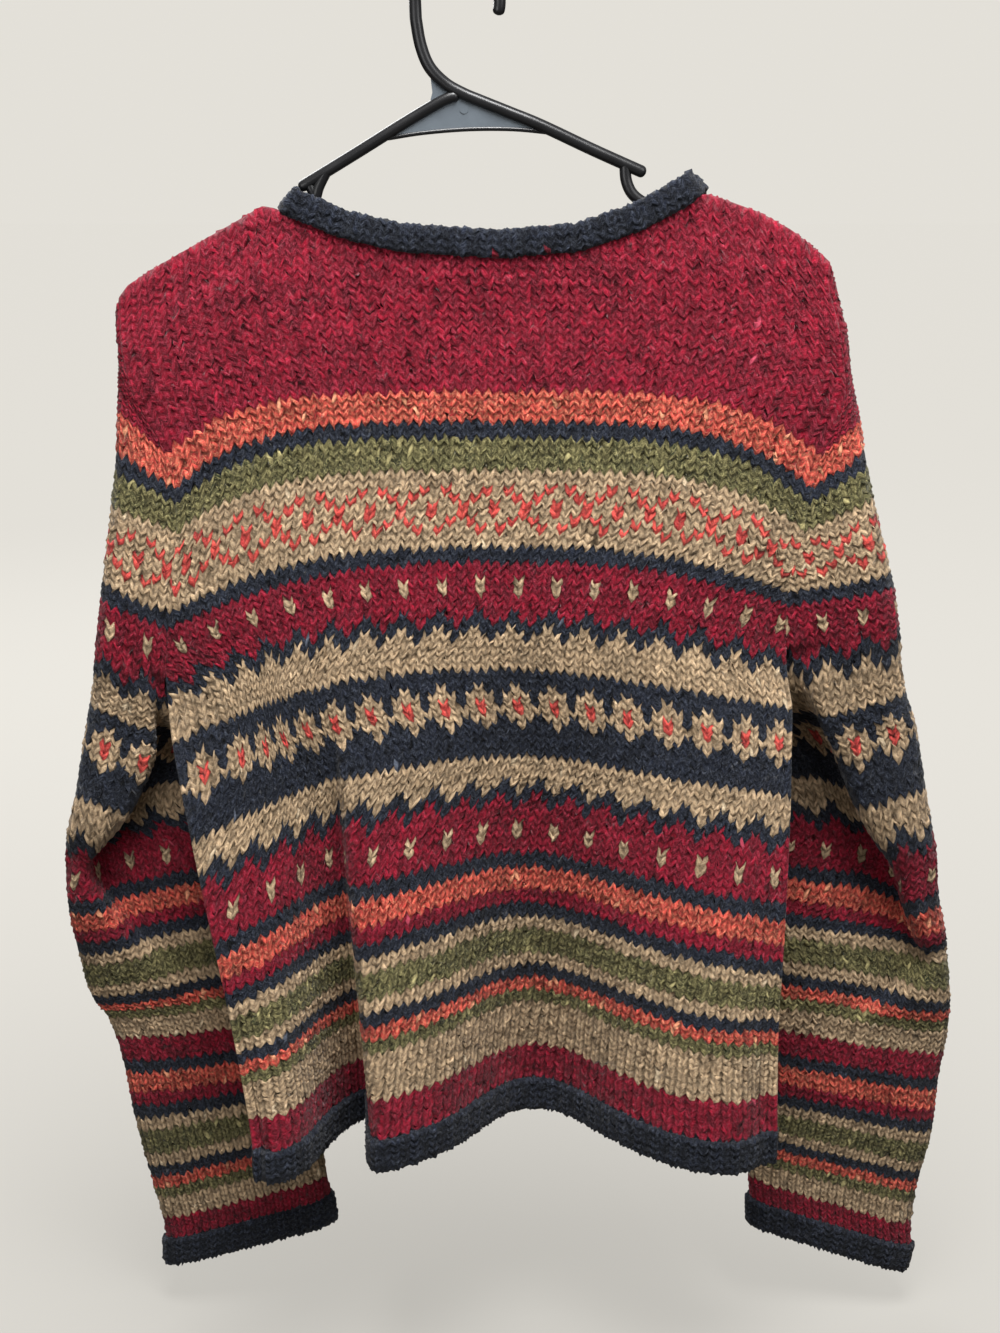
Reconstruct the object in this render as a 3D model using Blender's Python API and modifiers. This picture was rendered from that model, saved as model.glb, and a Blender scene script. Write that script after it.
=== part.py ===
"""A fair isle cardigan hanging on a plastic hanger, its back towards -Y. Metres, +Z up.

The origin is the inside top of the hanger's hook. Sizes in the tables are millimetres.
A "row" is a knitted row, counted up from the hem line of the body or the cuff line of a sleeve.
"""

import math

import bmesh
import bpy
from mathutils import Vector

MM = 0.001

# Walls and seams
WALL = 2.8
BAND_WALL = 4.4
SEAM_GAP = 0.4
HALF_GAP = 0.2
HEM_GAP = 0.7
HEM_DEEP = 20.5
CUFF_DEEP = 20.5
NECKBAND_WIDE = 15.0
NECKBAND_WALL = 4.6
BUTTON_BAND_WIDE = 30.0
UNDER_BAND_LIFT = -1.7
OVER_BAND_LIFT = 1.5
FRONT_DROP = 9.0
BUTTON_RADIUS = 9.0
BUTTON_THICK = 3.6
BUTTON_COUNT = 6
BUTTON_BAND_CLEAR = 3.0
TOP_BUTTON_RISE = 2.0
LAST_BUTTON_DROP = 8.0
MIDDLE_X = 24.0

# Hanger
ROD_RADIUS = 3.4
HOOK_RADIUS = 24.0
HOOK_ROD = 3.5
RAIL_CLEAR = 0.5
WEB_THICK = 3.0

# Body: what each row of the back and fronts measures
BODY_COLUMNS = (
    "row", "height", "left", "right", "drop_left", "drop_right", "bend_left", "bend_right",
    "side_left", "side_right", "gape", "lean_back", "lean_front")
BODY = (
    (-5, -732, -136, 206, 18, 8, 1.3, 1.5, -32, -30, 0, -8, 40),
    (0, -710, -137, 205, 20, 8, 1.3, 1.5, -31, -29, 0, -8, 40),
    (5, -683, -139, 204, 25, 9, 1.4, 1.5, -30, -28, 0, -8, 38),
    (18, -620, -145, 203, 42, 20, 1.5, 1.5, -29, -27, 0, -9, 33),
    (28, -573, -151, 204, 49, 27, 1.6, 1.5, -28, -26, 0, -10, 29),
    (35, -536, -157, 205, 52, 27, 1.8, 1.5, -26, -23, 0, -11, 26),
    (48, -469, -169, 206, 54, 24, 2.1, 1.5, -18, -16, 0, -12, 22),
    (60, -411, -180, 206, 51, 27, 2.4, 1.6, -7, -7, 0, -13, 18),
    (64, -392, -182, 203, 49, 27, 2.5, 1.8, -4, -4, 0, -13, 17),
    (68, -373, -183, 201, 46, 27, 2.6, 2.2, -2, -2, 1.5, -13, 16),
    (76, -334, -179, 200, 43, 29, 2.7, 2.6, -1, -1, 5, -13, 15),
    (86, -288, -172, 208, 38, 37, 4.0, 4.0, 0, 0, 8, -12, 13),
    (92, -259, -171, 211, 40, 40, 4.3, 4.0, 0, 0, 8.5, -11, 12),
    (96, -241, -175, 216, 37, 38, 4.4, 4.0, 0, 0, 8.5, -11, 11),
    (100, -222, -184, 224, 38, 40, 4.4, 4.0, 0, 0, 8.5, -10, 11),
    (105, -199, -194.5, 229, 40, 42, 4.4, 4.0, 0, 0, 8, -9, 10),
    (113, -161, -199.5, 224.5, 42, 45, 4.4, 4.0, 0, 0, 6, -8, 9),
    (120, -127, -198.5, 216.5, 42, 45, 4.4, 4.0, 0, 0, 4, -7, 8),
    (130, -79, -198.5, 216.5, 42, 45, 4.4, 4.0, 0, 0, 4, -7, 8))
UNDERARM_ROW = 68
SIDE_ROUND = 11.0
SIDE_TURN = 0.06

# Largest folds of the back: where each line of a fold runs, and its depth at the hem
FOLD_COLUMNS = ("x_high", "x_hem", "depth", "start")
BACK_FOLDS = (
    (-152, -128, -32, 66),
    (-126, -106, -28, 62),
    (-106, -90, 24, 56),
    (-90, -74, 42, 54),
    (-81, -64, -23, 54),
    (-60, -42, -30, 60),
    (-15, -8, -16, 64),
    (28, 28, 39, 66),
    (64, 64, 43, 66),
    (100, 100, -4, 66),
    (138, 140, -36, 66),
    (170, 178, -42, 66))
FRONT_FOLDS = (
    (-150, -112, -22, 66),
    (-110, -84, -2, 66),
    (-60, -45, 4, 60),
    (-25, -20, -2, 60),
    (20, 22, 2, 60),
    (70, 72, -3, 60),
    (110, 112, 4, 60),
    (150, 150, -4, 66),
    (185, 182, -30, 66))
FOLD_GROWTH = 1.15
FOLD_LIMIT = 1.1

# Shoulder and neck lines seen from the back, the cloth's inner face
TOP_COLUMNS = ("x", "height")
BACK_TOP = (
    (-206, -196), (-200, -187), (-194, -179), (-175, -167.5), (-151, -154.5), (-127, -141.5), (-114, -134),
    (-103, -136), (-92, -140), (-69, -149.5), (-34, -157.5), (24, -161), (71, -157), (105, -146), (128, -134),
    (141, -126), (152, -129.5), (175, -137.5), (193, -147), (204, -155), (214, -163), (222, -172),
    (232, -186))
NECK_LEFT = -103.0
NECK_RIGHT = 141.0
NECK_EASE = 6.0
NECK_INNER_EASE = 60.0
NECK_GAP = 0.9
NECK_GAP_CORNER = 2.0
CORNER_LEFT = (-102.5, 0.0, -133.0)
CORNER_RIGHT = (143.5, 0.0, -123.0)
LEAN_LEFT = (0.79, 0.0, 0.61)
LEAN_RIGHT = (-0.73, 0.0, 0.68)
NECK_DEPTH_CORNER = 5.2
NECK_DEPTH_MIDDLE = 9.5
FRONT_NECK_LOW = -236.0
FRONT_NECK_ROUND = 2.4
FRONT_NECK_SHARP = 0.7
RAIL_EASE = 34.0

# Sleeves: the outer fold line, the inner line under the arm, and the depths of both layers
SLEEVE_COLUMNS = (
    "row", "out_x", "out_z", "in_x", "in_z", "near", "fold", "fold_at", "sag", "far_out", "far_in")
SLEEVE_LEFT = (
    (-5, -220, -879, -97, -844, 64, 0, 0.5, 0, 79, 79),
    (0, -219, -858, -99, -824, 62, 0, 0.5, 0, 78, 78),
    (4, -220, -840, -101, -807, 60, 0, 0.5, 0, 76, 76),
    (12, -226, -805, -105, -774, 56, 0, 0.5, 0, 73, 73),
    (22, -234, -756, -110, -733, 51, 0, 0.5, 0, 69, 70),
    (31, -239, -708, -114, -695, 46, 2, 0.5, 0, 65, 67),
    (39, -247, -673, -120, -662, 42, 4, 0.5, 0, 62, 65),
    (45, -256, -656, -128, -636, 38, 6, 0.5, 0, 59, 63),
    (53, -261, -622, -137, -598, 30, 12, 0.35, 0, 53, 62),
    (62, -264, -580, -146, -556, 20, 20, 0.2, 2, 44, 61),
    (68, -262, -548, -152, -530, 12, 27, 0.12, 6, 38, 60),
    (72, -258, -526, -158, -514, 6, 33, 0.2, 12, 34, 59),
    (75, -251, -503, -162, -500, 3, 36, 0.32, 14, 32, 57),
    (82, -242, -463, -171, -478, 1, 33, 0.52, 8, 27, 50),
    (87, -236, -438, -180, -462, 0, 24, 0.62, 3, 23, 38),
    (91, -232, -421, -187, -446, -2, 10, 0.75, 0, 20, 20),
    (94, -230, -407, -187, -429, -5, 3, 0.8, 0, 17, 6),
    (101, -223, -368, -181, -386, -9, 0, 0.5, 0, 14, 7),
    (113, -213, -310, -172, -326, -10, 0, 0.5, 0, 12, 9),
    (119, -208, -279, -171, -299, -10, 0, 0.5, 0, 11, 9),
    (123, -206, -253, -175, -278, -9.5, 0, 0.5, 0, 10, 9),
    (132, -204.5, -224, -195, -239, -8, 0, 0.5, 0, 9, 8),
    (140, -204, -202, -202, -203, -6, 0, 0.5, 0, 7, 6),
    (147, -203.5, -188, -201, -188, -5, 0, 0.5, 0, 5, 5))
SLEEVE_RIGHT = (
    (-5, 321, -884, 206, -845, 64, 0, 0.5, 0, 79, 79),
    (0, 324, -864, 205, -825, 62, 0, 0.5, 0, 78, 78),
    (4, 322, -845, 204, -807, 60, 0, 0.5, 0, 76, 76),
    (12, 324, -808, 201, -775, 56, 0, 0.5, 0, 73, 73),
    (22, 330, -767, 201, -738, 51, 0, 0.5, 0, 69, 70),
    (31, 331, -722, 200, -699, 46, 2, 0.5, 0, 65, 67),
    (39, 334, -684, 199, -664, 42, 4, 0.5, 0, 62, 65),
    (45, 333, -660, 199, -637, 36, 9, 0.3, 0, 59, 63),
    (53, 327, -619, 198, -602, 28, 16, 0.1, 4, 53, 62),
    (57, 324, -604, 197, -584, 23, 22, 0.14, 8, 49, 62),
    (62, 316, -574, 196, -560, 17, 29, 0.17, 12, 44, 61),
    (68, 311, -543, 197, -534, 11, 34, 0.21, 16, 40, 60),
    (75, 300, -499, 198, -500, 6, 37, 0.36, 14, 34, 58),
    (82, 290, -454, 201, -470, 2, 33, 0.5, 8, 28, 50),
    (87, 282, -432, 203, -452, 0, 24, 0.6, 3, 24, 38),
    (91, 277, -412, 207, -430, -2, 10, 0.75, 0, 20, 20),
    (94, 274, -392, 207, -408, -5, 3, 0.8, 0, 17, 6),
    (101, 268, -362, 199, -368, -9, 0, 0.5, 0, 14, 7),
    (113, 252, -306, 208, -326, -10, 0, 0.5, 0, 12, 9),
    (119, 245, -278, 211, -299, -10, 0, 0.5, 0, 11, 9),
    (123, 241.5, -259, 216, -279, -9.5, 0, 0.5, 0, 10, 9),
    (132, 235, -230, 229, -241, -8, 0, 0.5, 0, 9, 8),
    (140, 227.5, -204, 222, -206, -6, 0, 0.5, 0, 7, 6),
    (147, 221, -180, 217, -182, -5, 0, 0.5, 0, 5, 5))
ROW_SHIFT = 27
CLOSED_ROW = 95.0
ARMHOLE_GAP = 0.9
FRONT_ARMHOLE_GAP = 1.8
CAP_ROW = 114.0
CAP_EASE = 16.0
FOLD_SHARP = 0.05
LEAST_SLEEVE = 2.0
SAG_RELEASE = 0.2
CLOSING_ROWS = 7.0
OUTER_ROUND = 0.2
INNER_ROUND = 0.16
OPEN_ROUND = 0.5

# Hanger seen from the back, as (x, height): arms from tip to tip, and the rails that bear the cloth
HANGER_ARMS = (
    (-90, -121.5), (-60, -104), (-28, -85), (-9, -73.5), (1, -69.5), (13, -73.5), (48, -88), (106, -113.5))
RAIL_LEFT = (
    (-76.5, -113.5), (-81, -122), (-84, -131), (-89, -139), (-97, -142), (-107, -141), (-115, -140),
    (-127, -147.5), (-151, -160.5), (-175, -173.5), (-190, -184), (-194, -192))
RAIL_RIGHT = (
    (96.5, -109.5), (97.5, -119), (102, -127), (112, -133), (125, -136.5), (140, -136.5), (154, -138.5),
    (175, -144), (194, -154), (209, -166), (216, -177))
HOOK_START = -12.0
HOOK_STEM = ((-23.5, -30), (-21, -44), (-16, -56), (-7, -65), (3, -71))
WEB_OUTLINE = (
    (-39, -94.5), (-20, -82.5), (2, -70), (26, -79.5), (50, -89.5), (32, -89.5), (10, -88.5), (-16, -90.5))

# Grid sizes
BACK_COLUMNS = 48
FRONT_COLUMNS_LEFT = 15
FRONT_COLUMNS_RIGHT = 16
BODY_ROWS = (0.05, 7, 14, 21, 28, 35, 42, 49, 56, 62, 68, 68.5, 75, 82, 89, 95, 100, 104.5)
HIGH_ROW = 107
TOP_DROPS = (18.0, 3.9, 1.95, 0.5, 0.0)
ROW_PITCH = 4.86
SLEEVE_NEAR_STEPS = 11
SLEEVE_FAR_STEPS = 5
SLEEVE_ROWS = (0.3, 10, 20, 30, 39, 46, 53, 58, 62, 66, 70, 74, 78, 82, 86, 90, 92.5, 94.5)
SECTION_SAMPLES = 12
BUTTON_BAND_STEPS = 14
NECKBAND_LINES = 4
ROD_SAMPLES = 2
ROD_BEVEL_LEVEL = 1
HOOK_STEPS = 15


def blend(start, end, share):
    """The value a share of the way from start to end."""
    return start + (end - start) * share


def ease(share):
    """A smooth 0 to 1 step that starts and ends level."""
    held = min(max(share, 0.0), 1.0)
    return held * held * (3.0 - 2.0 * held)


def round_in(share):
    """A 0 to 1 step that starts upright, as the quarter of a circle does."""
    held = min(max(share, 0.0), 1.0)
    return math.sqrt(1.0 - (1.0 - held) ** 2)


def look(columns, table, name, at):
    """A table's column at a place along its first column, on a smooth curve through its rows."""
    column = columns.index(name)
    keys = [line[0] for line in table]
    held = min(max(at, keys[0]), keys[-1])
    index = max(i for i in range(len(keys) - 1) if keys[i] <= held)
    low, high = table[index], table[index + 1]
    before = table[max(index - 1, 0)]
    after = table[min(index + 2, len(table) - 1)]
    width = high[0] - low[0]
    share = (held - low[0]) / width
    slope_low = (high[column] - before[column]) / (high[0] - before[0]) * width
    slope_high = (after[column] - low[column]) / (after[0] - low[0]) * width
    chord = high[column] - low[column]
    # A turn of the column is kept from swinging past its own value
    if (chord * (low[column] - before[column])) <= 0:
        slope_low = 0.0
    if (chord * (after[column] - high[column])) <= 0:
        slope_high = 0.0
    square, cube = share * share, share ** 3
    return ((2 * cube - 3 * square + 1) * low[column] + (cube - 2 * square + share) * slope_low
            + (3 * square - 2 * cube) * high[column] + (cube - square) * slope_high)


def straight(table, at):
    """The second column of an outline at a place along its first, in straight runs."""
    held = min(max(at, table[0][0]), table[-1][0])
    for low, high in zip(table, table[1:]):
        if held <= high[0]:
            return blend(low[1], high[1], (held - low[0]) / (high[0] - low[0]))
    return table[-1][1]


def body(name, row):
    """A measure of the body at a row."""
    return look(BODY_COLUMNS, BODY, name, row)


def spline(points, samples):
    """Points along a cubic B-spline that starts and ends on its first and last point."""
    frame = [points[0]] * 2 + list(points) + [points[-1]] * 2
    path = []
    for i in range(len(frame) - 3):
        a, b, c, d = frame[i:i + 4]
        for step in range(samples):
            t = step / samples
            weights = ((1 - t) ** 3 / 6, (3 * t ** 3 - 6 * t * t + 4) / 6,
                       (-3 * t ** 3 + 3 * t * t + 3 * t + 1) / 6, t ** 3 / 6)
            path.append(tuple(sum(w * p[axis] for w, p in zip(weights, (a, b, c, d)))
                              for axis in range(len(a))))
    path.append(tuple(points[-1]))
    return path


def along(path, count):
    """A path's points spaced evenly by length."""
    lengths = [0.0]
    for a, b in zip(path, path[1:]):
        lengths.append(lengths[-1] + math.dist(a, b))
    spaced = []
    index = 0
    for step in range(count + 1):
        goal = lengths[-1] * step / count
        while index < len(path) - 2 and lengths[index + 1] < goal:
            index += 1
        run = lengths[index + 1] - lengths[index]
        share = (goal - lengths[index]) / run if run > 0 else 0.0
        spaced.append(tuple(blend(p, q, min(share, 1.0)) for p, q in zip(path[index], path[index + 1])))
    return spaced


def edge_depth(side, panel, row):
    """The depth of a panel's side edge: beside the armhole, or at the side seam."""
    middle = body("side_" + side, row)
    offset = body("gape", row) + HALF_GAP
    return middle - offset if panel == "back" else middle + offset


def section(panel, row):
    """The back's or the front's curve across the body at a row, as (x, y), left to right."""
    left, right = body("left", row), body("right", row)
    lean = body("lean_" + panel, row)
    folds = BACK_FOLDS if panel == "back" else FRONT_FOLDS
    edge_left, edge_right = edge_depth("left", panel, row), edge_depth("right", panel, row)
    points = [(left, edge_left), (left + SIDE_ROUND, blend(edge_left, lean, SIDE_TURN))]
    for x_high, x_hem, depth, start in folds:
        grown = min(max((start - row) / start, 0.0), FOLD_LIMIT)
        x = blend(x_high, x_hem, grown)
        points.append((x, lean + depth * grown ** FOLD_GROWTH))
    points += [(right - SIDE_ROUND, blend(edge_right, lean, SIDE_TURN)), (right, edge_right)]
    return spline(points, SECTION_SAMPLES)


def row_drop(panel, x, row):
    """How far a row hangs below its middle at a place across the body; the fronts dip at their middle."""
    side = "left" if x < MIDDLE_X else "right"
    share = abs(x - MIDDLE_X) / abs(body(side, row) - MIDDLE_X)
    droop = body("drop_" + side, row) * share ** body("bend_" + side, row)
    dip = FRONT_DROP * ease(1.0 - share) * ease(1.0 - row / UNDERARM_ROW) if panel == "front" else 0.0
    return droop + dip


def front_top(x):
    """The front's shoulder line and its round neckline."""
    if x <= NECK_LEFT or x >= NECK_RIGHT:
        return straight(BACK_TOP, x)
    half = 0.5 * (NECK_RIGHT - NECK_LEFT)
    share = abs(x - 0.5 * (NECK_LEFT + NECK_RIGHT)) / half
    rim = straight(BACK_TOP, NECK_LEFT if x < MIDDLE_X else NECK_RIGHT)
    return rim + (FRONT_NECK_LOW - rim) * (1.0 - share ** FRONT_NECK_ROUND) ** FRONT_NECK_SHARP


def top_height(panel, x):
    """The height of a panel's upper edge at a place across the body."""
    return straight(BACK_TOP, x) if panel == "back" else front_top(x)


def on_shoulder(x):
    """1 over the shoulders, 0 along the neckline."""
    outside = max(NECK_LEFT - x, x - NECK_RIGHT)
    return ease(outside / NECK_EASE)


def settle(panel, x, y, row):
    """The point of a panel for a place on its section: hung on the rail and drooped at the sides."""
    z = body("height", row) - row_drop(panel, x, row)
    away = -1.0 if panel == "back" else 1.0
    below = max(top_height(panel, x) - z, 0.0)
    radius = ROD_RADIUS + RAIL_CLEAR
    over_rail = HALF_GAP + radius * round_in(below / radius)
    inside = min(x - NECK_LEFT, NECK_RIGHT - x)
    at_neck = blend(NECK_DEPTH_CORNER, NECK_DEPTH_MIDDLE, ease(inside / NECK_INNER_EASE))
    near_top = away * blend(at_neck, over_rail, on_shoulder(x))
    return Vector((x, blend(near_top, y, ease((below - radius) / RAIL_EASE)), z)) * MM


def top_row(panel, section_at):
    """The row at which a column of a panel meets the upper edge."""
    low, high = 80.0, 129.0
    for _ in range(22):
        middle = 0.5 * (low + high)
        x = section_at(middle)[0]
        z = body("height", middle) - row_drop(panel, x, middle)
        if z < top_height(panel, x):
            low = middle
        else:
            high = middle
    return 0.5 * (low + high)


def trimmed(path, low, high):
    """The part of a path between two places across."""
    kept = [point for point in path if low < point[0] < high]
    ends = []
    for cut in (low, high):
        for a, b in zip(path, path[1:]):
            if min(a[0], b[0]) <= cut <= max(a[0], b[0]) and a[0] != b[0]:
                ends.append((cut, blend(a[1], b[1], (cut - a[0]) / (b[0] - a[0]))))
                break
        else:
            ends.append(path[0] if cut <= path[0][0] else path[-1])
    return [ends[0]] + kept + [ends[1]]


def rows_up_to(top):
    """The body rows of a column up to its own top row: spaced rows, then close ones over the rail."""
    over_rail = [top - drop / ROW_PITCH for drop in TOP_DROPS]
    room = min((over_rail[0] - UNDERARM_ROW) / (HIGH_ROW - UNDERARM_ROW), 1.0)
    fixed = [row if row < UNDERARM_ROW else blend(UNDERARM_ROW, row, room) for row in BODY_ROWS]
    return fixed + over_rail


def panel_grid(panel, columns, cut=None):
    """Rows of points over a panel, from its lowest row to its upper edge."""
    cache = {}

    def at(row, column):
        key = round(row, 3)
        if key not in cache:
            path = section(panel, row)
            if cut:
                path = trimmed(path, *cut)
            cache[key] = along(path, columns)
        return cache[key][column]

    tops = [top_row(panel, lambda row, c=column: at(row, c)) for column in range(columns + 1)]
    ladders = [rows_up_to(top) for top in tops]
    grid = []
    for step in range(len(ladders[0])):
        line = []
        for column, ladder in enumerate(ladders):
            x, y = at(ladder[step], column)
            line.append(settle(panel, x, y, ladder[step]))
        grid.append(line)
    return grid


def band_line(panel, depth, columns, cut=None):
    """A line of points a depth below the hem line, following the panel's lowest row."""
    path = section(panel, 0.0)
    if cut:
        path = trimmed(path, *cut)
    height = body("height", 0.0) - depth
    return [Vector((x, y, height - row_drop(panel, x, 0.0))) * MM for x, y in along(path, columns)]


def material(name, colour, roughness):
    """A plain material."""
    made = bpy.data.materials.new(name)
    made.use_nodes = True
    shader = made.node_tree.nodes["Principled BSDF"]
    shader.inputs["Base Color"].default_value = (*colour, 1.0)
    shader.inputs["Roughness"].default_value = roughness
    shader.inputs["Metallic"].default_value = 0.0
    return made


def place(mesh, name, finish):
    """A named object for a mesh, in the cardigan's collection."""
    made = bpy.data.objects.new(name, mesh)
    mesh.materials.append(finish)
    parts.objects.link(made)
    return made


def sheet(name, grid, wall, finish, facing, probe=None):
    """A cloth wall over a grid of points, thickened outwards; facing is the y sign at the probe column."""
    rows, columns = len(grid), len(grid[0])
    probe = columns // 2 if probe is None else probe
    shape = bmesh.new()
    bmesh.ops.create_grid(shape, x_segments=columns - 1, y_segments=rows - 1, size=1.0)
    shape.verts.ensure_lookup_table()
    for index, vertex in enumerate(shape.verts):
        vertex.co = grid[index // columns][index % columns]
    shape.verts.ensure_lookup_table()
    middle = (rows // 2) * columns + probe
    face = shape.verts[middle].link_faces[0]
    face.normal_update()
    if face.normal.y * facing < 0:
        bmesh.ops.reverse_faces(shape, faces=shape.faces)
    bmesh.ops.remove_doubles(shape, verts=shape.verts, dist=0.00002)
    mesh = bpy.data.meshes.new(name)
    shape.to_mesh(mesh)
    shape.free()
    mesh.shade_smooth()
    made = place(mesh, name, finish)
    thick = made.modifiers.new("Wall", "SOLIDIFY")
    thick.thickness = wall * MM
    thick.offset = 1.0
    thick.use_even_offset = False
    return made


def sleeve_value(side, name, row):
    """A measure of a sleeve at a row."""
    table = SLEEVE_LEFT if side == "left" else SLEEVE_RIGHT
    return look(SLEEVE_COLUMNS, table, name, row)


def armhole_point(side, panel, row):
    """The body's armhole edge at one of its rows."""
    path = section(panel, row)
    x, y = path[0] if side == "left" else path[-1]
    return settle(panel, x, y, row) / MM


def sleeve_point(side, layer, share, row):
    """A point of a sleeve's near or far layer: share 0 at its outer fold, 1 at the seam or under the arm."""
    away = -1.0 if side == "left" else 1.0
    opened = row > CLOSED_ROW
    near, fold = sleeve_value(side, "near", row), sleeve_value(side, "fold", row)
    far_out, far_in = sleeve_value(side, "far_out", row), sleeve_value(side, "far_in", row)
    fold_at, sag = sleeve_value(side, "fold_at", row), sleeve_value(side, "sag", row)
    outer = Vector((sleeve_value(side, "out_x", row) - away * WALL, 0.0, sleeve_value(side, "out_z", row)))
    closing = ease((CLOSED_ROW + 1.0 - row) / CLOSING_ROWS)
    if opened:
        inner = armhole_point(side, "back" if layer == "near" else "front", row - ROW_SHIFT)
        inner.x += away * (ARMHOLE_GAP if layer == "near" else FRONT_ARMHOLE_GAP)
        outer.x = away * max(away * outer.x, away * inner.x + LEAST_SLEEVE)
        inner_depth = inner.y
        narrow = ease((row - CAP_ROW) / CAP_EASE)
    else:
        inner = Vector((sleeve_value(side, "in_x", row), 0.0, sleeve_value(side, "in_z", row)))
        inner_depth = 0.5 * (near + fold + far_in)
        narrow = 0.0
    past_fold = 1.0 / (1.0 + math.exp(-(share - fold_at) / FOLD_SHARP))
    base = near + fold * past_fold if layer == "near" else blend(far_out, far_in, share)
    closure = blend(0.5 * (near + far_out), inner_depth, ease(share))
    open_end = ease((1.0 - share) / OPEN_ROUND)
    closed_end = round_in((1.0 - share) / INNER_ROUND)
    inner_end = blend(open_end, closed_end, 0.0 if opened else closing)
    shape = min(round_in(share / OUTER_ROUND), 1.0) * inner_end
    if share < fold_at:
        droop = sag * (share / fold_at) ** 2
    else:
        droop = sag * max(1.0 - (share - fold_at) / SAG_RELEASE, 0.0)
    x = blend(outer.x, inner.x, share)
    z = blend(outer.z, inner.z, share) - droop
    y = blend(blend(closure, base, shape), inner_depth * round_in(share), narrow)
    return Vector((x, y, z)) * MM


def ring_share(turn, row):
    """Where a ring's column stands: close together at the folds, and evenly beside an open seam."""
    folded = (1.0 - math.cos(math.pi * turn)) / 2.0
    seamed = 1.0 - math.cos(0.5 * math.pi * turn)
    return blend(folded, seamed, ease((row - CLOSED_ROW + 6.0) / 6.0))


def sleeve_ring(side, row):
    """A sleeve's line of points at a row: near layer from the seam out, then the far layer back."""
    near = [ring_share(step / SLEEVE_NEAR_STEPS, row) for step in range(SLEEVE_NEAR_STEPS, -1, -1)]
    far = [ring_share(step / SLEEVE_FAR_STEPS, row) for step in range(1, SLEEVE_FAR_STEPS + 1)]
    return ([sleeve_point(side, "near", share, row) for share in near]
            + [sleeve_point(side, "far", share, row) for share in far])


def make_sleeve(side, finish):
    """A sleeve from its cuff line to the shoulder."""
    top = top_row("back", lambda row: section("back", row)[0 if side == "left" else -1])
    set_in = [row + ROW_SHIFT for row in rows_up_to(top)[:-3] if row > UNDERARM_ROW]
    grid = [sleeve_ring(side, row) for row in list(SLEEVE_ROWS) + set_in]
    return sheet("sleeve_" + side, grid, WALL, finish, -1, SLEEVE_NEAR_STEPS // 2)


def make_cuff(side, finish):
    """A sleeve's cuff, a short tube under its cuff line."""
    line = sleeve_ring(side, 0.0)
    below = sleeve_ring(side, -5.0)
    depths = (1.0, 0.66, 0.33, HALF_GAP / CUFF_DEEP)
    grid = [[a.lerp(b, depth) for a, b in zip(line, below)] for depth in depths]
    return sheet("cuff_" + side, grid, BAND_WALL, finish, -1, SLEEVE_NEAR_STEPS // 2)


def make_hem(name, panel, columns, finish, cut=None):
    """A hem band under a panel's lowest row."""
    depths = (HEM_DEEP, 0.66 * HEM_DEEP, 0.33 * HEM_DEEP, HEM_GAP)
    grid = [band_line(panel, depth, columns, cut) for depth in depths]
    return sheet(name, grid, BAND_WALL, finish, -1 if panel == "back" else 1)


def front_depth(x, row):
    """The depth of the front's inner face at a place and row."""
    path = section("front", row)
    for a, b in zip(path, path[1:]):
        if a[0] <= x <= b[0]:
            return blend(a[1], b[1], (x - a[0]) / max(b[0] - a[0], 0.001))
    return path[-1][1]


def make_button_band(side, lift, finish):
    """A button band down the middle of the front, lifted off the fronts' inner face."""
    low_x, high_x = MIDDLE_X - BUTTON_BAND_WIDE / 2, MIDDLE_X + BUTTON_BAND_WIDE / 2
    top = FRONT_NECK_LOW - BUTTON_BAND_CLEAR
    bottom = body("height", 0.0) - FRONT_DROP - HEM_DEEP
    grid = []
    for step in range(BUTTON_BAND_STEPS + 1):
        height = blend(bottom, top, step / BUTTON_BAND_STEPS)
        row = row_at(height)
        line = []
        for across in range(4):
            x = blend(low_x, high_x, across / 3)
            line.append(Vector((x, front_depth(x, row) + lift, height)) * MM)
        grid.append(line)
    return sheet("button_band_" + side, grid, WALL, finish, 1)


def row_at(height):
    """The row whose middle hangs at a height."""
    for low, high in zip(BODY, BODY[1:]):
        if height <= high[1]:
            return blend(low[0], high[0], (height - low[1]) / (high[1] - low[1]))
    return BODY[-1][0]


def catmull(points, samples):
    """A smooth path through points."""
    path = []
    for i in range(len(points) - 1):
        before, low = points[max(i - 1, 0)], points[i]
        high, after = points[i + 1], points[min(i + 2, len(points) - 1)]
        for step in range(samples):
            t = step / samples
            path.append(tuple(
                0.5 * (2 * b + (c - a) * t + (2 * a - 5 * b + 4 * c - d) * t * t
                       + (3 * b - a - 3 * c + d) * t ** 3)
                for a, b, c, d in zip(before, low, high, after)))
    path.append(tuple(points[-1]))
    return path


def rod(name, path, radius, finish):
    """A round rod along a flat path of (x, height) points, as a mesh."""
    curve = bpy.data.curves.new(name, "CURVE")
    curve.dimensions = "3D"
    curve.bevel_depth = radius * MM
    curve.bevel_resolution = ROD_BEVEL_LEVEL
    curve.use_fill_caps = True
    line = curve.splines.new("POLY")
    line.points.add(len(path) - 1)
    for point, (x, height) in zip(line.points, path):
        point.co = (x * MM, 0.0, height * MM, 1.0)
    guide = bpy.data.objects.new(name + "_line", curve)
    parts.objects.link(guide)
    bpy.context.view_layer.update()
    solid = bpy.data.meshes.new_from_object(guide.evaluated_get(bpy.context.evaluated_depsgraph_get()))
    bpy.data.objects.remove(guide)
    shape = bmesh.new()
    shape.from_mesh(solid)
    bmesh.ops.remove_doubles(shape, verts=shape.verts, dist=0.00001)
    bmesh.ops.recalc_face_normals(shape, faces=shape.faces)
    shape.to_mesh(solid)
    shape.free()
    solid.materials.clear()
    return place(solid, name, finish)


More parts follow.
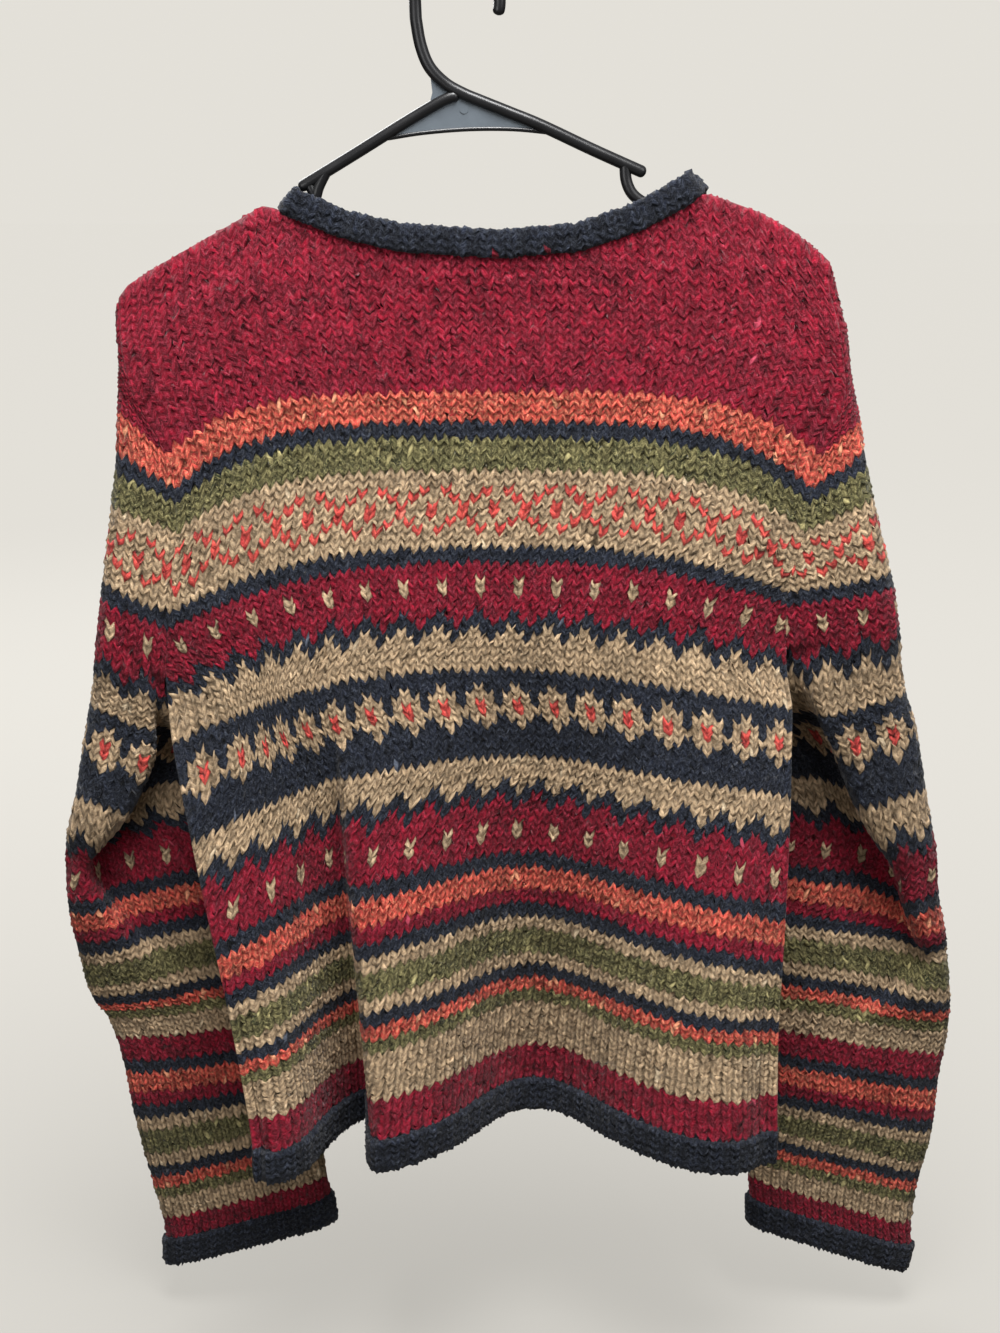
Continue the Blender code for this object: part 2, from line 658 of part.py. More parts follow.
def plate(name, outline, thick, finish):
    """A flat plate standing in the hanger's plane."""
    shape = bmesh.new()
    corners = [shape.verts.new(Vector((x, -thick / 2, height)) * MM) for x, height in outline]
    face = shape.faces.new(corners)
    pushed = bmesh.ops.extrude_face_region(shape, geom=[face])
    moved = [item for item in pushed["geom"] if isinstance(item, bmesh.types.BMVert)]
    bmesh.ops.translate(shape, verts=moved, vec=(0.0, thick * MM, 0.0))
    bmesh.ops.recalc_face_normals(shape, faces=shape.faces)
    solid = bpy.data.meshes.new(name)
    shape.to_mesh(solid)
    shape.free()
    return place(solid, name, finish)


def join(base, pieces):
    """A union of a base and other pieces, which become cutters."""
    for piece in pieces:
        union = base.modifiers.new("Join " + piece.name, "BOOLEAN")
        union.operation = "UNION"
        union.object = piece
        parts.objects.unlink(piece)
        joined.objects.link(piece)
        piece.hide_render = True
        piece.display_type = "WIRE"


def make_hanger(finish):
    """The hanger: hook and stem, arms with strap notches, shoulder rails, and the web under the apex."""
    centre = HOOK_ROD - HOOK_RADIUS
    arc = []
    for step in range(HOOK_STEPS + 1):
        angle = math.radians(blend(HOOK_START, 180.0, step / HOOK_STEPS))
        arc.append((HOOK_RADIUS * math.cos(angle), centre + HOOK_RADIUS * math.sin(angle)))
    hanger = rod("hanger", catmull(HANGER_ARMS, ROD_SAMPLES), ROD_RADIUS, finish)
    hook = rod("hook", arc + catmull(HOOK_STEM, ROD_SAMPLES), HOOK_ROD, finish)
    rail_left = rod("rail_left", catmull(RAIL_LEFT, ROD_SAMPLES), ROD_RADIUS - 0.05, finish)
    rail_right = rod("rail_right", catmull(RAIL_RIGHT, ROD_SAMPLES), ROD_RADIUS - 0.05, finish)
    web = plate("web", WEB_OUTLINE, WEB_THICK, finish)
    join(hanger, (hook, rail_left, rail_right, web))
    return hanger


def neck_run(grid, panel, low, high):
    """A neckline from a panel's upper edge: the middle of its wall, and the way across the neckband."""
    away = -1.0 if panel == "back" else 1.0
    edge = [point / MM + Vector((0.0, away * WALL / 2, 0.0)) for point in grid[-1]]
    run = [point for point in edge if low - 2.0 < point.x < high + 2.0]
    across = []
    for index in range(len(run)):
        tangent = (run[min(index + 1, len(run) - 1)] - run[max(index - 1, 0)]).normalized()
        across.append(Vector((-tangent.z, 0.0, tangent.x)))
    return run, across


def make_neckband(back_grid, left_grid, right_grid, finish):
    """The neckband: a strip from the left front, over the rails and round the back to the right front."""
    front_left = neck_run(left_grid, "front", NECK_LEFT, 400.0)
    back = neck_run(back_grid, "back", NECK_LEFT, NECK_RIGHT)
    front_right = neck_run(right_grid, "front", -400.0, NECK_RIGHT)
    path = list(reversed(front_left[0])) + [Vector(CORNER_LEFT)] + back[0] + [Vector(CORNER_RIGHT)]
    across = list(reversed(front_left[1])) + [Vector(LEAN_LEFT)] + back[1] + [Vector(LEAN_RIGHT)]
    path += list(reversed(front_right[0]))
    across += list(reversed(front_right[1]))
    first, last = len(front_left[0]), len(front_left[0]) + 1 + len(back[0])
    for corner in (first, last):
        across[corner] = across[corner].normalized()
        for beside in (corner - 1, corner + 1):
            across[beside] = (across[beside] + across[corner]).normalized()
    starts = [NECK_GAP] * len(path)
    for corner in (first, last):
        for near_corner in range(corner - 2, corner + 3):
            starts[near_corner] = NECK_GAP_CORNER
    lines = []
    for number in range(NECKBAND_LINES):
        share = number / (NECKBAND_LINES - 1)
        lines.append([(point + way * blend(start, NECKBAND_WIDE, share)) * MM
                      for point, way, start in zip(path, across, starts)])
    band = sheet("neckband", lines, NECKBAND_WALL, finish, -1)
    band.modifiers["Wall"].offset = 0.0
    return band


def make_button(number, finish):
    """A button on the outer band."""
    top = FRONT_NECK_LOW + TOP_BUTTON_RISE
    bottom = body("height", 0.0) - FRONT_DROP - LAST_BUTTON_DROP
    height = blend(top, bottom, number / (BUTTON_COUNT - 1))
    low_edge = front_depth(MIDDLE_X, row_at(height - BUTTON_RADIUS))
    high_edge = front_depth(MIDDLE_X, row_at(height + BUTTON_RADIUS))
    tilt = math.atan2(low_edge - high_edge, 2 * BUTTON_RADIUS)
    depth = front_depth(MIDDLE_X, row_at(height)) + OVER_BAND_LIFT + WALL + SEAM_GAP + BUTTON_THICK / 2
    bpy.ops.mesh.primitive_cylinder_add(
        vertices=14, radius=BUTTON_RADIUS * MM, depth=BUTTON_THICK * MM,
        location=(MIDDLE_X * MM, depth * MM, height * MM),
        rotation=(math.radians(90) + tilt, 0.0, 0.0))
    button = bpy.context.object
    button.name = "button_%d" % (number + 1)
    button.data.materials.append(finish)
    for holder in list(button.users_collection):
        holder.objects.unlink(button)
    parts.objects.link(button)
    return button


def build():
    """Every piece of the cardigan and its hanger."""
    crimson = material("Crimson wool", (0.26, 0.01, 0.03), 0.95)
    navy = material("Navy wool", (0.02, 0.025, 0.045), 0.95)
    tan = material("Tan wool", (0.4, 0.28, 0.17), 0.95)
    plastic = material("Black plastic", (0.02, 0.02, 0.022), 0.35)
    horn = material("Dark button", (0.03, 0.025, 0.03), 0.4)
    low_x = MIDDLE_X - BUTTON_BAND_WIDE / 2 - SEAM_GAP
    high_x = MIDDLE_X + BUTTON_BAND_WIDE / 2 + SEAM_GAP
    left_cut, right_cut = (-400.0, low_x), (high_x, 400.0)
    back_grid = panel_grid("back", BACK_COLUMNS)
    left_grid = panel_grid("front", FRONT_COLUMNS_LEFT, left_cut)
    right_grid = panel_grid("front", FRONT_COLUMNS_RIGHT, right_cut)
    sheet("back", back_grid, WALL, crimson, -1)
    sheet("front_left", left_grid, WALL, crimson, 1)
    sheet("front_right", right_grid, WALL, crimson, 1)
    make_hem("hem_band_back", "back", BACK_COLUMNS, navy)
    make_hem("hem_band_front_left", "front", FRONT_COLUMNS_LEFT, navy, left_cut)
    make_hem("hem_band_front_right", "front", FRONT_COLUMNS_RIGHT, navy, right_cut)
    for side in ("left", "right"):
        make_sleeve(side, tan)
        make_cuff(side, navy)
    make_button_band("left", UNDER_BAND_LIFT, navy)
    make_button_band("right", OVER_BAND_LIFT, navy)
    make_neckband(back_grid, left_grid, right_grid, navy)
    for number in range(BUTTON_COUNT):
        make_button(number, horn)
    make_hanger(plastic)


for old in list(bpy.data.objects):
    bpy.data.objects.remove(old)
parts = bpy.data.collections.new("Fair isle cardigan")
joined = bpy.data.collections.new("Joined pieces")
bpy.context.scene.collection.children.link(parts)
bpy.context.scene.collection.children.link(joined)
build()
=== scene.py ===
"""Looks for a fair isle cardigan on its hanger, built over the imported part. Metres, +Z up.

Tables are in millimetres. A row is a knitted row counted up from the hem or the cuff line, and a
column is a stitch counted across, 0 at the middle of the back or along a sleeve's outer fold.
"""

import math

import bmesh
import bpy
import numpy as np
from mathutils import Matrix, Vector


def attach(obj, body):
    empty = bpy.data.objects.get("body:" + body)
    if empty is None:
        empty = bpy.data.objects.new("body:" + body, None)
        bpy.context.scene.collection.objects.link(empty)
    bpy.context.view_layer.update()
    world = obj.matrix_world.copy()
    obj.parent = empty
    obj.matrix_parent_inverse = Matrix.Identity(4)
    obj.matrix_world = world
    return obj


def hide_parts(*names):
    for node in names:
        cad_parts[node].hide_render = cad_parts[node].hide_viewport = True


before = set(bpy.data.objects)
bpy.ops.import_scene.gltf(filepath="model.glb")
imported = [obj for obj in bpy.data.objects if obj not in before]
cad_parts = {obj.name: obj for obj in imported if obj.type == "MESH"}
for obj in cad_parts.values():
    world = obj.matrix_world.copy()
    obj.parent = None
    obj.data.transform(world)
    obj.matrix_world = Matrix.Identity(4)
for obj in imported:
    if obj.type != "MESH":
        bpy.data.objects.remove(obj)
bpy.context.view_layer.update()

MM = 0.001
TINY = 1e-9
WELD = 0.00002
rng = np.random.default_rng(14)

# Walls and seams, as in the part
WALL = 2.8
HALF_GAP = 0.2
HEM_DEEP = 20.5
HEM_LAP = 2.6
CUFF_DEEP = 20.5
MIDDLE_X = 24.0
FRONT_DROP = 9.0
BUTTON_BAND_WIDE = 30.0
BAND_WALL = 4.4
NECKBAND_WIDE = 15.0
NECKBAND_WALL = 4.6
CORNER_LEFT = (-102.5, 0.0, -133.0)
CORNER_RIGHT = (143.5, 0.0, -123.0)
LEAN_LEFT = (0.79, 0.0, 0.61)
LEAN_RIGHT = (-0.73, 0.0, 0.68)
UNDER_BAND_LIFT = -1.7
OVER_BAND_LIFT = 1.5
BUTTON_RADIUS = 9.0
BUTTON_THICK = 3.6
BUTTON_COUNT = 6
TOP_BUTTON_RISE = 2.0
LOW_BUTTON_DROP = 8.0
BUTTON_CLEAR = 0.4
# Each step of the button's front: how far in, and how deep
BUTTON_STEPS = ((1.9, 0.9), (0.9, 0.3))
BUTTON_SIDES = 40
BUTTON_BEVEL = 0.7
BUTTON_BEVEL_STEPS = 3
FACING_DOWN = -0.9
HOLE_PLACE = 1.7
HOLE_RADIUS = 0.9
HOLE_DEEP = 8.0
HOLE_SIDES = 12
ROD_RADIUS = 3.4
RAIL_CLEAR = 0.5
BAND_CLEAR = 0.4
HALF_BAND = BUTTON_BAND_WIDE / 2 + BAND_CLEAR
# Where the fronts and the neckline end, left and right of the button bands
LEFT_CUT = (-400.0, MIDDLE_X - HALF_BAND)
RIGHT_CUT = (MIDDLE_X + HALF_BAND, 400.0)
AWAY = {"back": -1.0, "front": 1.0}

# Body: what each row of the back and fronts measures
BODY_COLUMNS = (
    "row", "height", "left", "right", "drop_left", "drop_right", "bend_left", "bend_right",
    "side_left", "side_right", "gape", "lean_back", "lean_front")
BODY = (
    (-5, -732, -136, 206, 18, 8, 1.3, 1.5, -32, -30, 0, -8, 40),
    (0, -710, -137, 205, 20, 8, 1.3, 1.5, -31, -29, 0, -8, 40),
    (5, -683, -139, 204, 25, 9, 1.4, 1.5, -30, -28, 0, -8, 38),
    (18, -620, -145, 203, 42, 20, 1.5, 1.5, -29, -27, 0, -9, 33),
    (28, -573, -151, 204, 49, 27, 1.6, 1.5, -28, -26, 0, -10, 29),
    (35, -536, -157, 205, 52, 27, 1.8, 1.5, -26, -23, 0, -11, 26),
    (48, -469, -169, 206, 54, 24, 2.1, 1.5, -18, -16, 0, -12, 22),
    (60, -411, -180, 206, 51, 27, 2.4, 1.6, -7, -7, 0, -13, 18),
    (64, -392, -182, 203, 49, 27, 2.5, 1.8, -4, -4, 0, -13, 17),
    (68, -373, -183, 201, 46, 27, 2.6, 2.2, -2, -2, 1.5, -13, 16),
    (76, -334, -179, 200, 43, 29, 2.7, 2.6, -1, -1, 5, -13, 15),
    (86, -288, -172, 208, 38, 37, 4.0, 4.0, 0, 0, 8, -12, 13),
    (92, -259, -171, 211, 40, 40, 4.3, 4.0, 0, 0, 8.5, -11, 12),
    (96, -241, -175, 216, 37, 38, 4.4, 4.0, 0, 0, 8.5, -11, 11),
    (100, -222, -184, 224, 38, 40, 4.4, 4.0, 0, 0, 8.5, -10, 11),
    (105, -199, -194.5, 229, 40, 42, 4.4, 4.0, 0, 0, 8, -9, 10),
    (113, -161, -199.5, 224.5, 42, 45, 4.4, 4.0, 0, 0, 6, -8, 9),
    (120, -127, -198.5, 216.5, 42, 45, 4.4, 4.0, 0, 0, 4, -7, 8),
    (130, -79, -198.5, 216.5, 42, 45, 4.4, 4.0, 0, 0, 4, -7, 8))
UNDERARM_ROW = 68
EDGE_INSET = 11.0
EDGE_LEAN = 0.06
CURVE_STEPS = 12

# Largest folds: where each line of a fold runs at its top and at the hem, its depth there, and the row
# it starts from
BACK_FOLDS = (
    (-152, -128, -32, 66),
    (-126, -106, -28, 62),
    (-106, -92, 22, 58),
    (-88, -72, 40, 58),
    (-80, -62, 42, 58),
    (-78, -60, 4, 58),
    (-77, -58, -31, 58),
    (-71, -52, -34, 58),
    (-60, -42, -30, 60),
    (-15, -8, -16, 64),
    (28, 28, 39, 66),
    (64, 64, 43, 66),
    (100, 100, -4, 66),
    (138, 140, -36, 66),
    (170, 178, -42, 66))
FRONT_FOLDS = (
    (-150, -112, -22, 66),
    (-110, -84, -2, 66),
    (-60, -45, 4, 60),
    (-25, -20, -2, 60),
    (20, 22, 2, 60),
    (70, 72, -3, 60),
    (110, 112, 4, 60),
    (150, 150, -4, 66),
    (185, 182, -30, 66))
FOLD_LIMIT = 1.1
FOLD_GROWTH = 1.15

# Shoulder and neck lines seen from the back, the cloth's inner face
BACK_TOP = (
    (-206, -196), (-200, -187), (-194, -179), (-175, -167.5), (-151, -154.5), (-127, -141.5),
    (-114, -134), (-103, -136), (-92, -140), (-69, -149.5), (-34, -157.5), (24, -161), (71, -157),
    (105, -146), (128, -134), (141, -126), (152, -129.5), (175, -137.5), (193, -147), (204, -155),
    (214, -163), (222, -172), (232, -186))
NECK_LEFT = -103.0
NECK_RIGHT = 141.0
NECK_EASE = 6.0
NECK_INNER_EASE = 60.0
NECK_DEPTH_CORNER = 5.2
NECK_DEPTH_MIDDLE = 9.5
FRONT_NECK_LOW = -236.0
FRONT_NECK_ROUND = 2.4
FRONT_NECK_SHARP = 0.7
RAIL_BLEND = 34.0

# Sleeves: the outer fold line, the inner line under the arm, and the depths of both layers
SLEEVE_COLUMNS = (
    "row", "out_x", "out_z", "in_x", "in_z", "near", "fold", "fold_at", "sag", "far_out", "far_in")
SLEEVE_LEFT = (
    (-5, -220, -879, -97, -844, 64, 0, 0.5, 0, 79, 79),
    (0, -219, -858, -99, -824, 62, 0, 0.5, 0, 78, 78),
    (4, -220, -840, -101, -807, 60, 0, 0.5, 0, 76, 76),
    (12, -226, -805, -105, -774, 56, 0, 0.5, 0, 73, 73),
    (22, -234, -756, -110, -733, 51, 0, 0.5, 0, 69, 70),
    (31, -239, -708, -114, -695, 46, 2, 0.5, 0, 65, 67),
    (39, -247, -673, -120, -662, 42, 4, 0.5, 0, 62, 65),
    (45, -256, -656, -128, -636, 38, 6, 0.5, 0, 59, 63),
    (53, -261, -622, -137, -598, 30, 12, 0.35, 0, 53, 62),
    (62, -264, -580, -146, -556, 20, 20, 0.2, 2, 44, 61),
    (68, -262, -548, -152, -530, 12, 27, 0.12, 6, 38, 60),
    (72, -258, -526, -158, -514, 6, 33, 0.2, 12, 34, 59),
    (75, -251, -503, -162, -500, 3, 36, 0.32, 14, 32, 57),
    (82, -242, -463, -171, -478, 1, 33, 0.52, 8, 27, 50),
    (87, -236, -438, -180, -462, 0, 24, 0.62, 3, 23, 38),
    (91, -232, -421, -187, -446, -2, 10, 0.75, 0, 20, 20),
    (94, -230, -407, -187, -429, -5, 3, 0.8, 0, 17, 6),
    (101, -223, -368, -181, -386, -9, 0, 0.5, 0, 14, 7),
    (113, -213, -310, -172, -326, -10, 0, 0.5, 0, 12, 9),
    (119, -208, -279, -171, -299, -10, 0, 0.5, 0, 11, 9),
    (123, -206, -253, -175, -278, -9.5, 0, 0.5, 0, 10, 9),
    (132, -203.5, -226, -193, -239, -8, 0, 0.5, 0, 9, 8),
    (140, -201.5, -204, -191, -206, -6, 0, 0.5, 0, 7, 6),
    (147, -198.5, -186, -189, -188, -5, 0, 0.5, 0, 5, 5),
    (152, -194.5, -171, -187.5, -173, -5, 0, 0.5, 0, 5, 5))
SLEEVE_RIGHT = (
    (-5, 321, -884, 206, -845, 64, 0, 0.5, 0, 79, 79),
    (0, 324, -864, 205, -825, 62, 0, 0.5, 0, 78, 78),
    (4, 322, -845, 204, -807, 60, 0, 0.5, 0, 76, 76),
    (12, 324, -808, 201, -775, 56, 0, 0.5, 0, 73, 73),
    (22, 330, -767, 201, -738, 51, 0, 0.5, 0, 69, 70),
    (31, 331, -722, 200, -699, 46, 2, 0.5, 0, 65, 67),
    (39, 334, -684, 199, -664, 42, 4, 0.5, 0, 62, 65),
    (45, 333, -660, 199, -637, 36, 9, 0.3, 0, 59, 63),
    (53, 327, -619, 198, -602, 28, 16, 0.1, 4, 53, 62),
    (57, 324, -604, 197, -584, 23, 22, 0.14, 8, 49, 62),
    (62, 316, -574, 196, -560, 17, 29, 0.17, 12, 44, 61),
    (68, 311, -543, 197, -534, 11, 34, 0.21, 16, 40, 60),
    (75, 300, -499, 198, -500, 6, 37, 0.36, 14, 34, 58),
    (82, 290, -454, 201, -470, 2, 33, 0.5, 8, 28, 50),
    (87, 282, -432, 203, -452, 0, 24, 0.6, 3, 24, 38),
    (91, 277, -412, 207, -430, -2, 10, 0.75, 0, 20, 20),
    (94, 274, -392, 207, -408, -5, 3, 0.8, 0, 17, 6),
    (101, 268, -362, 199, -368, -9, 0, 0.5, 0, 14, 7),
    (113, 252, -306, 208, -326, -10, 0, 0.5, 0, 12, 9),
    (119, 245, -278, 211, -299, -10, 0, 0.5, 0, 11, 9),
    (123, 241.5, -259, 216, -279, -9.5, 0, 0.5, 0, 10, 9),
    (132, 234, -230, 228, -241, -8, 0, 0.5, 0, 9, 8),
    (140, 230, -204, 220, -206, -6, 0, 0.5, 0, 7, 6),
    (147, 224, -184, 214, -186, -5, 0, 0.5, 0, 5, 5),
    (152, 220, -170, 213, -172, -5, 0, 0.5, 0, 5, 5))
ROW_SHIFT = 27
CLOSED_ROW = 95.0
CLOSING_ROWS = 7.0
ARMHOLE_GAP = -0.5
CAP_ROW = 114.0
CAP_EASE = 16.0
FOLD_SHARP = 0.026
FOLD_LIP = 6.0
FOLD_LIP_WIDE = 0.06
# Brings the peak of x e^(-x x / 2) to about 1
LIP_PEAK = 1.65
FULL_FOLD = 28.0
SAG_END = 0.2
LEAST_SLEEVE = 2.0
TUCK = {"left": 6.0, "right": 10.0}
TUCK_ROWS = (68.0, 97.0)
TUCK_EASE = (4.0, 6.0)
OUTER_ROUND = 0.2
INNER_ROUND = 0.16
INNER_EASE = 0.5
SLEEVE_POINTS = 61

# The knit: columns at each edge of a panel by row
EDGE_COLUMNS = ("row", "low", "high")
BACK_EDGES = (
    (-5, -29, 39), (0, -29, 39), (38, -30, 38), (55, -36, 36), (64, -36, 36), (72, -32, 34),
    (80, -30, 31), (96, -30, 31), (113, -30, 30), (130, -30, 30))
# Where the back's columns are gathered or spread: share of the width, and how far columns move there
GATHER = (
    (0.0, 0.0), (0.08, 0.018), (0.14, 0.0), (0.22, -0.038), (0.30, -0.057), (0.50, -0.045),
    (0.75, -0.028), (0.90, -0.004), (1.0, 0.0))
GATHER_ROWS = ((36, 0.3), (48, 0.4), (56, 1.0), (62, 1.0), (70, 0.0))
FRONT_LEFT_EDGES = ((-5, -33, -2), (62, -33, -2), (72, -31, -2), (113, -29, -2), (130, -29, -2))
FRONT_RIGHT_EDGES = ((-5, 2, 31), (62, 2, 31), (72, 2, 30), (113, 2, 29), (130, 2, 29))
SLEEVE_STITCH = 6.1

# A stitch: its steps across and up, how far its legs rise into points and stand off the cloth, and
# how much they vary
ACROSS = 4
UP = 3
POINT_RISE = 0.95
CREASE = 0.9
LOFT = 1.8
EDGE_LOFT = 0.25
LOFT_SPREAD = 0.08
LEG_SPREAD = 0.18
COLUMN_DRIFT = 0.08
ROW_DRIFT = 0.09
STITCH_DRIFT = 0.10
# The inside is plain cloth: its rows are this many knitted rows each
INNER_ROWS = 2
INNER_LIFT = 0.15
# The rows between which the deeper creases of the lower rows fade out
RIB_START = 13.0
RIB_END = 42.0
# What the shader takes as the loft, which sets its painted crease shade, at edges and inside
EDGE_DEPTH = 0.75
INNER_DEPTH = 0.5

# Rolled bands of the same stitches: how high their legs stand and how much lower every second column
# is, the width and height of a stitch, how much smaller the roll's core is, and how much they vary
RIB_LOFT = 1.9
RIB_RISE = 0.75
RIB_SPREAD = 0.16
RIB_SUNK = 0.62
BUTTON_BAND_SUNK = 0.6
ROLL_PITCH = 6.2
HEM_PITCH = 6.5
NECK_PITCH = 7.4
RING_PITCH = 4.7
ROLL_INSET = 0.6
ROLL_EASE = 0.5
PATH_DRIFT = 0.18
HEM_POINTS = 160
CUFF_ROWS = (0.0, -5.0)
FRONT_NECK_POINTS = 40
BACK_NECK_POINTS = 90
NECK_TRIM = 1.5
NECK_SEAT = 1.0
NECK_EXTRA_DEEP = 1.5
NECK_EXTRA_WALL = 1.0
NECK_ODD_LEGS = 0.015
BUTTON_BAND_POINTS = 90
BUTTON_BAND_RISE = 11.0

# How high each step of a stitch stands, from 0 in a crease to 1 on a leg; in the lower rows the
# creases between columns are deeper
STITCH_LOFT = {
    0: (0.05, 0.34, 0.00, 0.34),
    1: (0.44, 1.00, 0.26, 1.00),
    2: (0.28, 0.78, 0.46, 0.78)}
RIB_STITCH_LOFT = {
    0: (0.00, 0.62, 0.06, 0.62),
    1: (0.10, 1.00, 0.26, 1.00),
    2: (0.05, 0.86, 0.34, 0.86)}
# How far a yarn's own fuzz fills the creases of its stitches, which also lightens their painted shade
FUZZ_FILL = {"C": 0.30, "T": 0.20, "N": 0.40, "G": 0.20, "O": 0.10, "R": 0.20}
FUZZ_LEVEL = 0.62

# Where a piece's outside and inside lie on its UV map: left, bottom, width, height
UV_OUTSIDE = (0.01, 0.01, 0.98, 0.86)
UV_INSIDE = (0.01, 0.89, 0.98, 0.10)
UV_ROLL = (0.01, 0.01, 0.98, 0.94)
# Where the faces of its edges and ends lie: a ring's centre and radius
UV_RIM = (0.5, 0.995, 0.004)
UV_ROLL_END = (0.5, 0.98, 0.015)
OUTWARD_TURN = ((0, 0), (1, 0), (1, 1), (0, 1))
INWARD_TURN = ((0, 0), (0, 1), (1, 1), (1, 0))
# Faces smaller than this, and smaller than this where all corners are held at an edge, are left out
LEAST_FACE = 0.001
LEAST_HELD_FACE = 0.02
# A place that hold() moves by more than this is at an edge, and one off the panel is sent this far out
MOVED = 1e-6
FAR_OUT = 1e4
# How many rows and columns to each side a normal is measured over
NORMAL_REACH = 0.35
FULL_TURN = 6.283

# Yarns: the main ply, the darker ply it is spun with, its light fibres, their share, and the share of
# legs that are light slubs
YARNS = {
    "C": ((134, 7, 34), (86, 2, 20), (204, 82, 104), 0.40, 0.001),
    "T": ((187, 159, 126), (150, 125, 96), (226, 204, 171), 0.42, 0.006),
    "N": ((20, 25, 38), (10, 13, 22), (106, 113, 128), 0.38, 0.001),
    "G": ((98, 93, 60), (46, 51, 32), (194, 182, 128), 0.58, 0.030),
    "O": ((208, 76, 66), (156, 40, 43), (250, 180, 138), 0.52, 0.025),
    "R": ((216, 80, 72), (178, 52, 54), (240, 142, 122), 0.32, 0.010)}
DARK_PLY = 0.34
DARK_PLY_SPREAD = 0.30
LEG_TONE_SPREAD = 0.11
SLUB_LIGHT = 0.7

# Motifs, top row first, each row a repeat
ZIGZAG_UPPER = ("CCNC", "CNNN", "NNTN", "NTTT")
ZIGZAG_LOWER = ("TTNT", "TNNN", "NNCN", "NCCC")
FLOWERS = ("NNNT", "TNTT", "TNTR", "TTTR", "TNTT", "NNNT")
FLECKS_UPPER = ("C", "C", "CCTC", "CCTC", "C", "C")
FLECKS_LOWER = ("C", "C", "CTCC", "CTCC", "C", "C")
CROSSES = ("TTRTRT", "TRTTTR", "RTTRTT", "RTTRTT", "TRTTTR", "TTRTRT")


def plain(*bands):
    """Plain bands from the bottom up, each a yarn and its rows."""
    rows = []
    for yarn, count in bands:
        rows += [yarn] * count
    return rows


def motif(rows):
    """A motif's rows from the bottom up."""
    return list(reversed(rows))


PATTERNED = (
    motif(ZIGZAG_LOWER) + plain(("T", 3), ("N", 4)) + motif(FLOWERS) + plain(("N", 2), ("T", 4))
    + motif(ZIGZAG_UPPER) + motif(FLECKS_UPPER) + plain(("N", 2), ("T", 2)) + motif(CROSSES)
    + plain(("T", 2), ("G", 4), ("N", 2), ("O", 4), ("C", 60)))
STRIPES = (
    ("G", 2), ("O", 2), ("N", 2), ("T", 2), ("G", 4), ("T", 2), ("N", 2), ("C", 2), ("O", 3), ("N", 2))
BODY_CHART = plain(("C", 5), ("T", 7), *STRIPES) + motif(FLECKS_LOWER) + PATTERNED
SLEEVE_CHART = 2 * plain(("C", 4), ("T", 4), *STRIPES) + motif(FLECKS_LOWER) + PATTERNED
# The column that starts a repeat of each length
REPEAT_START = {1: 0, 4: 3, 6: 4}


def blend(start, end, share):
    """The value a share of the way from start to end."""
    return start + (end - start) * share


def ease(share):
    """A smooth 0 to 1 step that starts and ends level."""
    held = np.clip(share, 0.0, 1.0)
    return held * held * (3.0 - 2.0 * held)


def round_in(share):
    """A 0 to 1 step that starts upright, as the quarter of a circle does."""
    held = np.clip(share, 0.0, 1.0)
    return np.sqrt(1.0 - (1.0 - held) ** 2)


def look(columns, table, name, at):
    """A table's column at a place along its first column, on a smooth curve through its rows."""
    column = columns.index(name)
    keys = [line[0] for line in table]
    held = min(max(at, keys[0]), keys[-1])
    index = max(i for i in range(len(keys) - 1) if keys[i] <= held)
    low, high = table[index], table[index + 1]
    before = table[max(index - 1, 0)]
    after = table[min(index + 2, len(table) - 1)]
    width = high[0] - low[0]
    share = (held - low[0]) / width
    slope_low = (high[column] - before[column]) / (high[0] - before[0]) * width
    slope_high = (after[column] - low[column]) / (after[0] - low[0]) * width
    chord = high[column] - low[column]
    # A turn of the column is kept from swinging past its own value
    if (chord * (low[column] - before[column])) <= 0:
        slope_low = 0.0
    if (chord * (after[column] - high[column])) <= 0:
        slope_high = 0.0
    square, cube = share * share, share ** 3
    return ((2 * cube - 3 * square + 1) * low[column] + (cube - 2 * square + share) * slope_low
            + (3 * square - 2 * cube) * high[column] + (cube - square) * slope_high)


FINE_ROWS = np.arange(-6.0, 150.0, 0.25)
SHARES = np.linspace(0.0, 1.0, 401)
SLEEVE_SHARES = SHARES[::4]
BODY_LINES = np.arange(-6, 131)
SLEEVE_LINES = np.arange(-5, 152)
# The rows between which the shoulder line is looked for
SEARCH_ROWS = (80.0, 129.0)
SEARCH_STEPS = 22
SPARE_COLUMNS = 10
TOP_SAMPLES = 600
measured = {}


def measure(columns, table, name, rows):
    """A table's column at many rows at once."""
    key = (id(table), name)
    if key not in measured:
        measured[key] = np.array([look(columns, table, name, row) for row in FINE_ROWS])
    return np.interp(rows, FINE_ROWS, measured[key])


def body(name, rows):
    """A measure of the body at rows."""
    return measure(BODY_COLUMNS, BODY, name, rows)


def outline(table, at):
    """The second column of an outline at places along its first, in straight runs."""
    return np.interp(at, [line[0] for line in table], [line[1] for line in table])


def spline(points, samples):
    """Points along a cubic B-spline that starts and ends on its first and last point."""
    held = np.array([points[0]] * 2 + list(points) + [points[-1]] * 2, dtype=float)
    t = np.arange(samples)[:, None] / samples
    weights = np.stack(((1 - t) ** 3 / 6, (3 * t ** 3 - 6 * t * t + 4) / 6,
                        (-3 * t ** 3 + 3 * t * t + 3 * t + 1) / 6, t ** 3 / 6))
    runs = [sum(weights[j] * held[i + j] for j in range(4)) for i in range(len(held) - 3)]
    return np.vstack(runs + [held[-1:]])


def run_lengths(path):
    """The length of a path up to each of its points."""
    steps = np.linalg.norm(np.diff(path, axis=0), axis=1)
    return np.concatenate(([0.0], np.cumsum(steps)))


def at_lengths(field, lengths, goal):
    """A field's values at lengths along its path."""
    return np.stack([np.interp(goal, lengths, field[:, axis]) for axis in range(field.shape[1])], axis=-1)


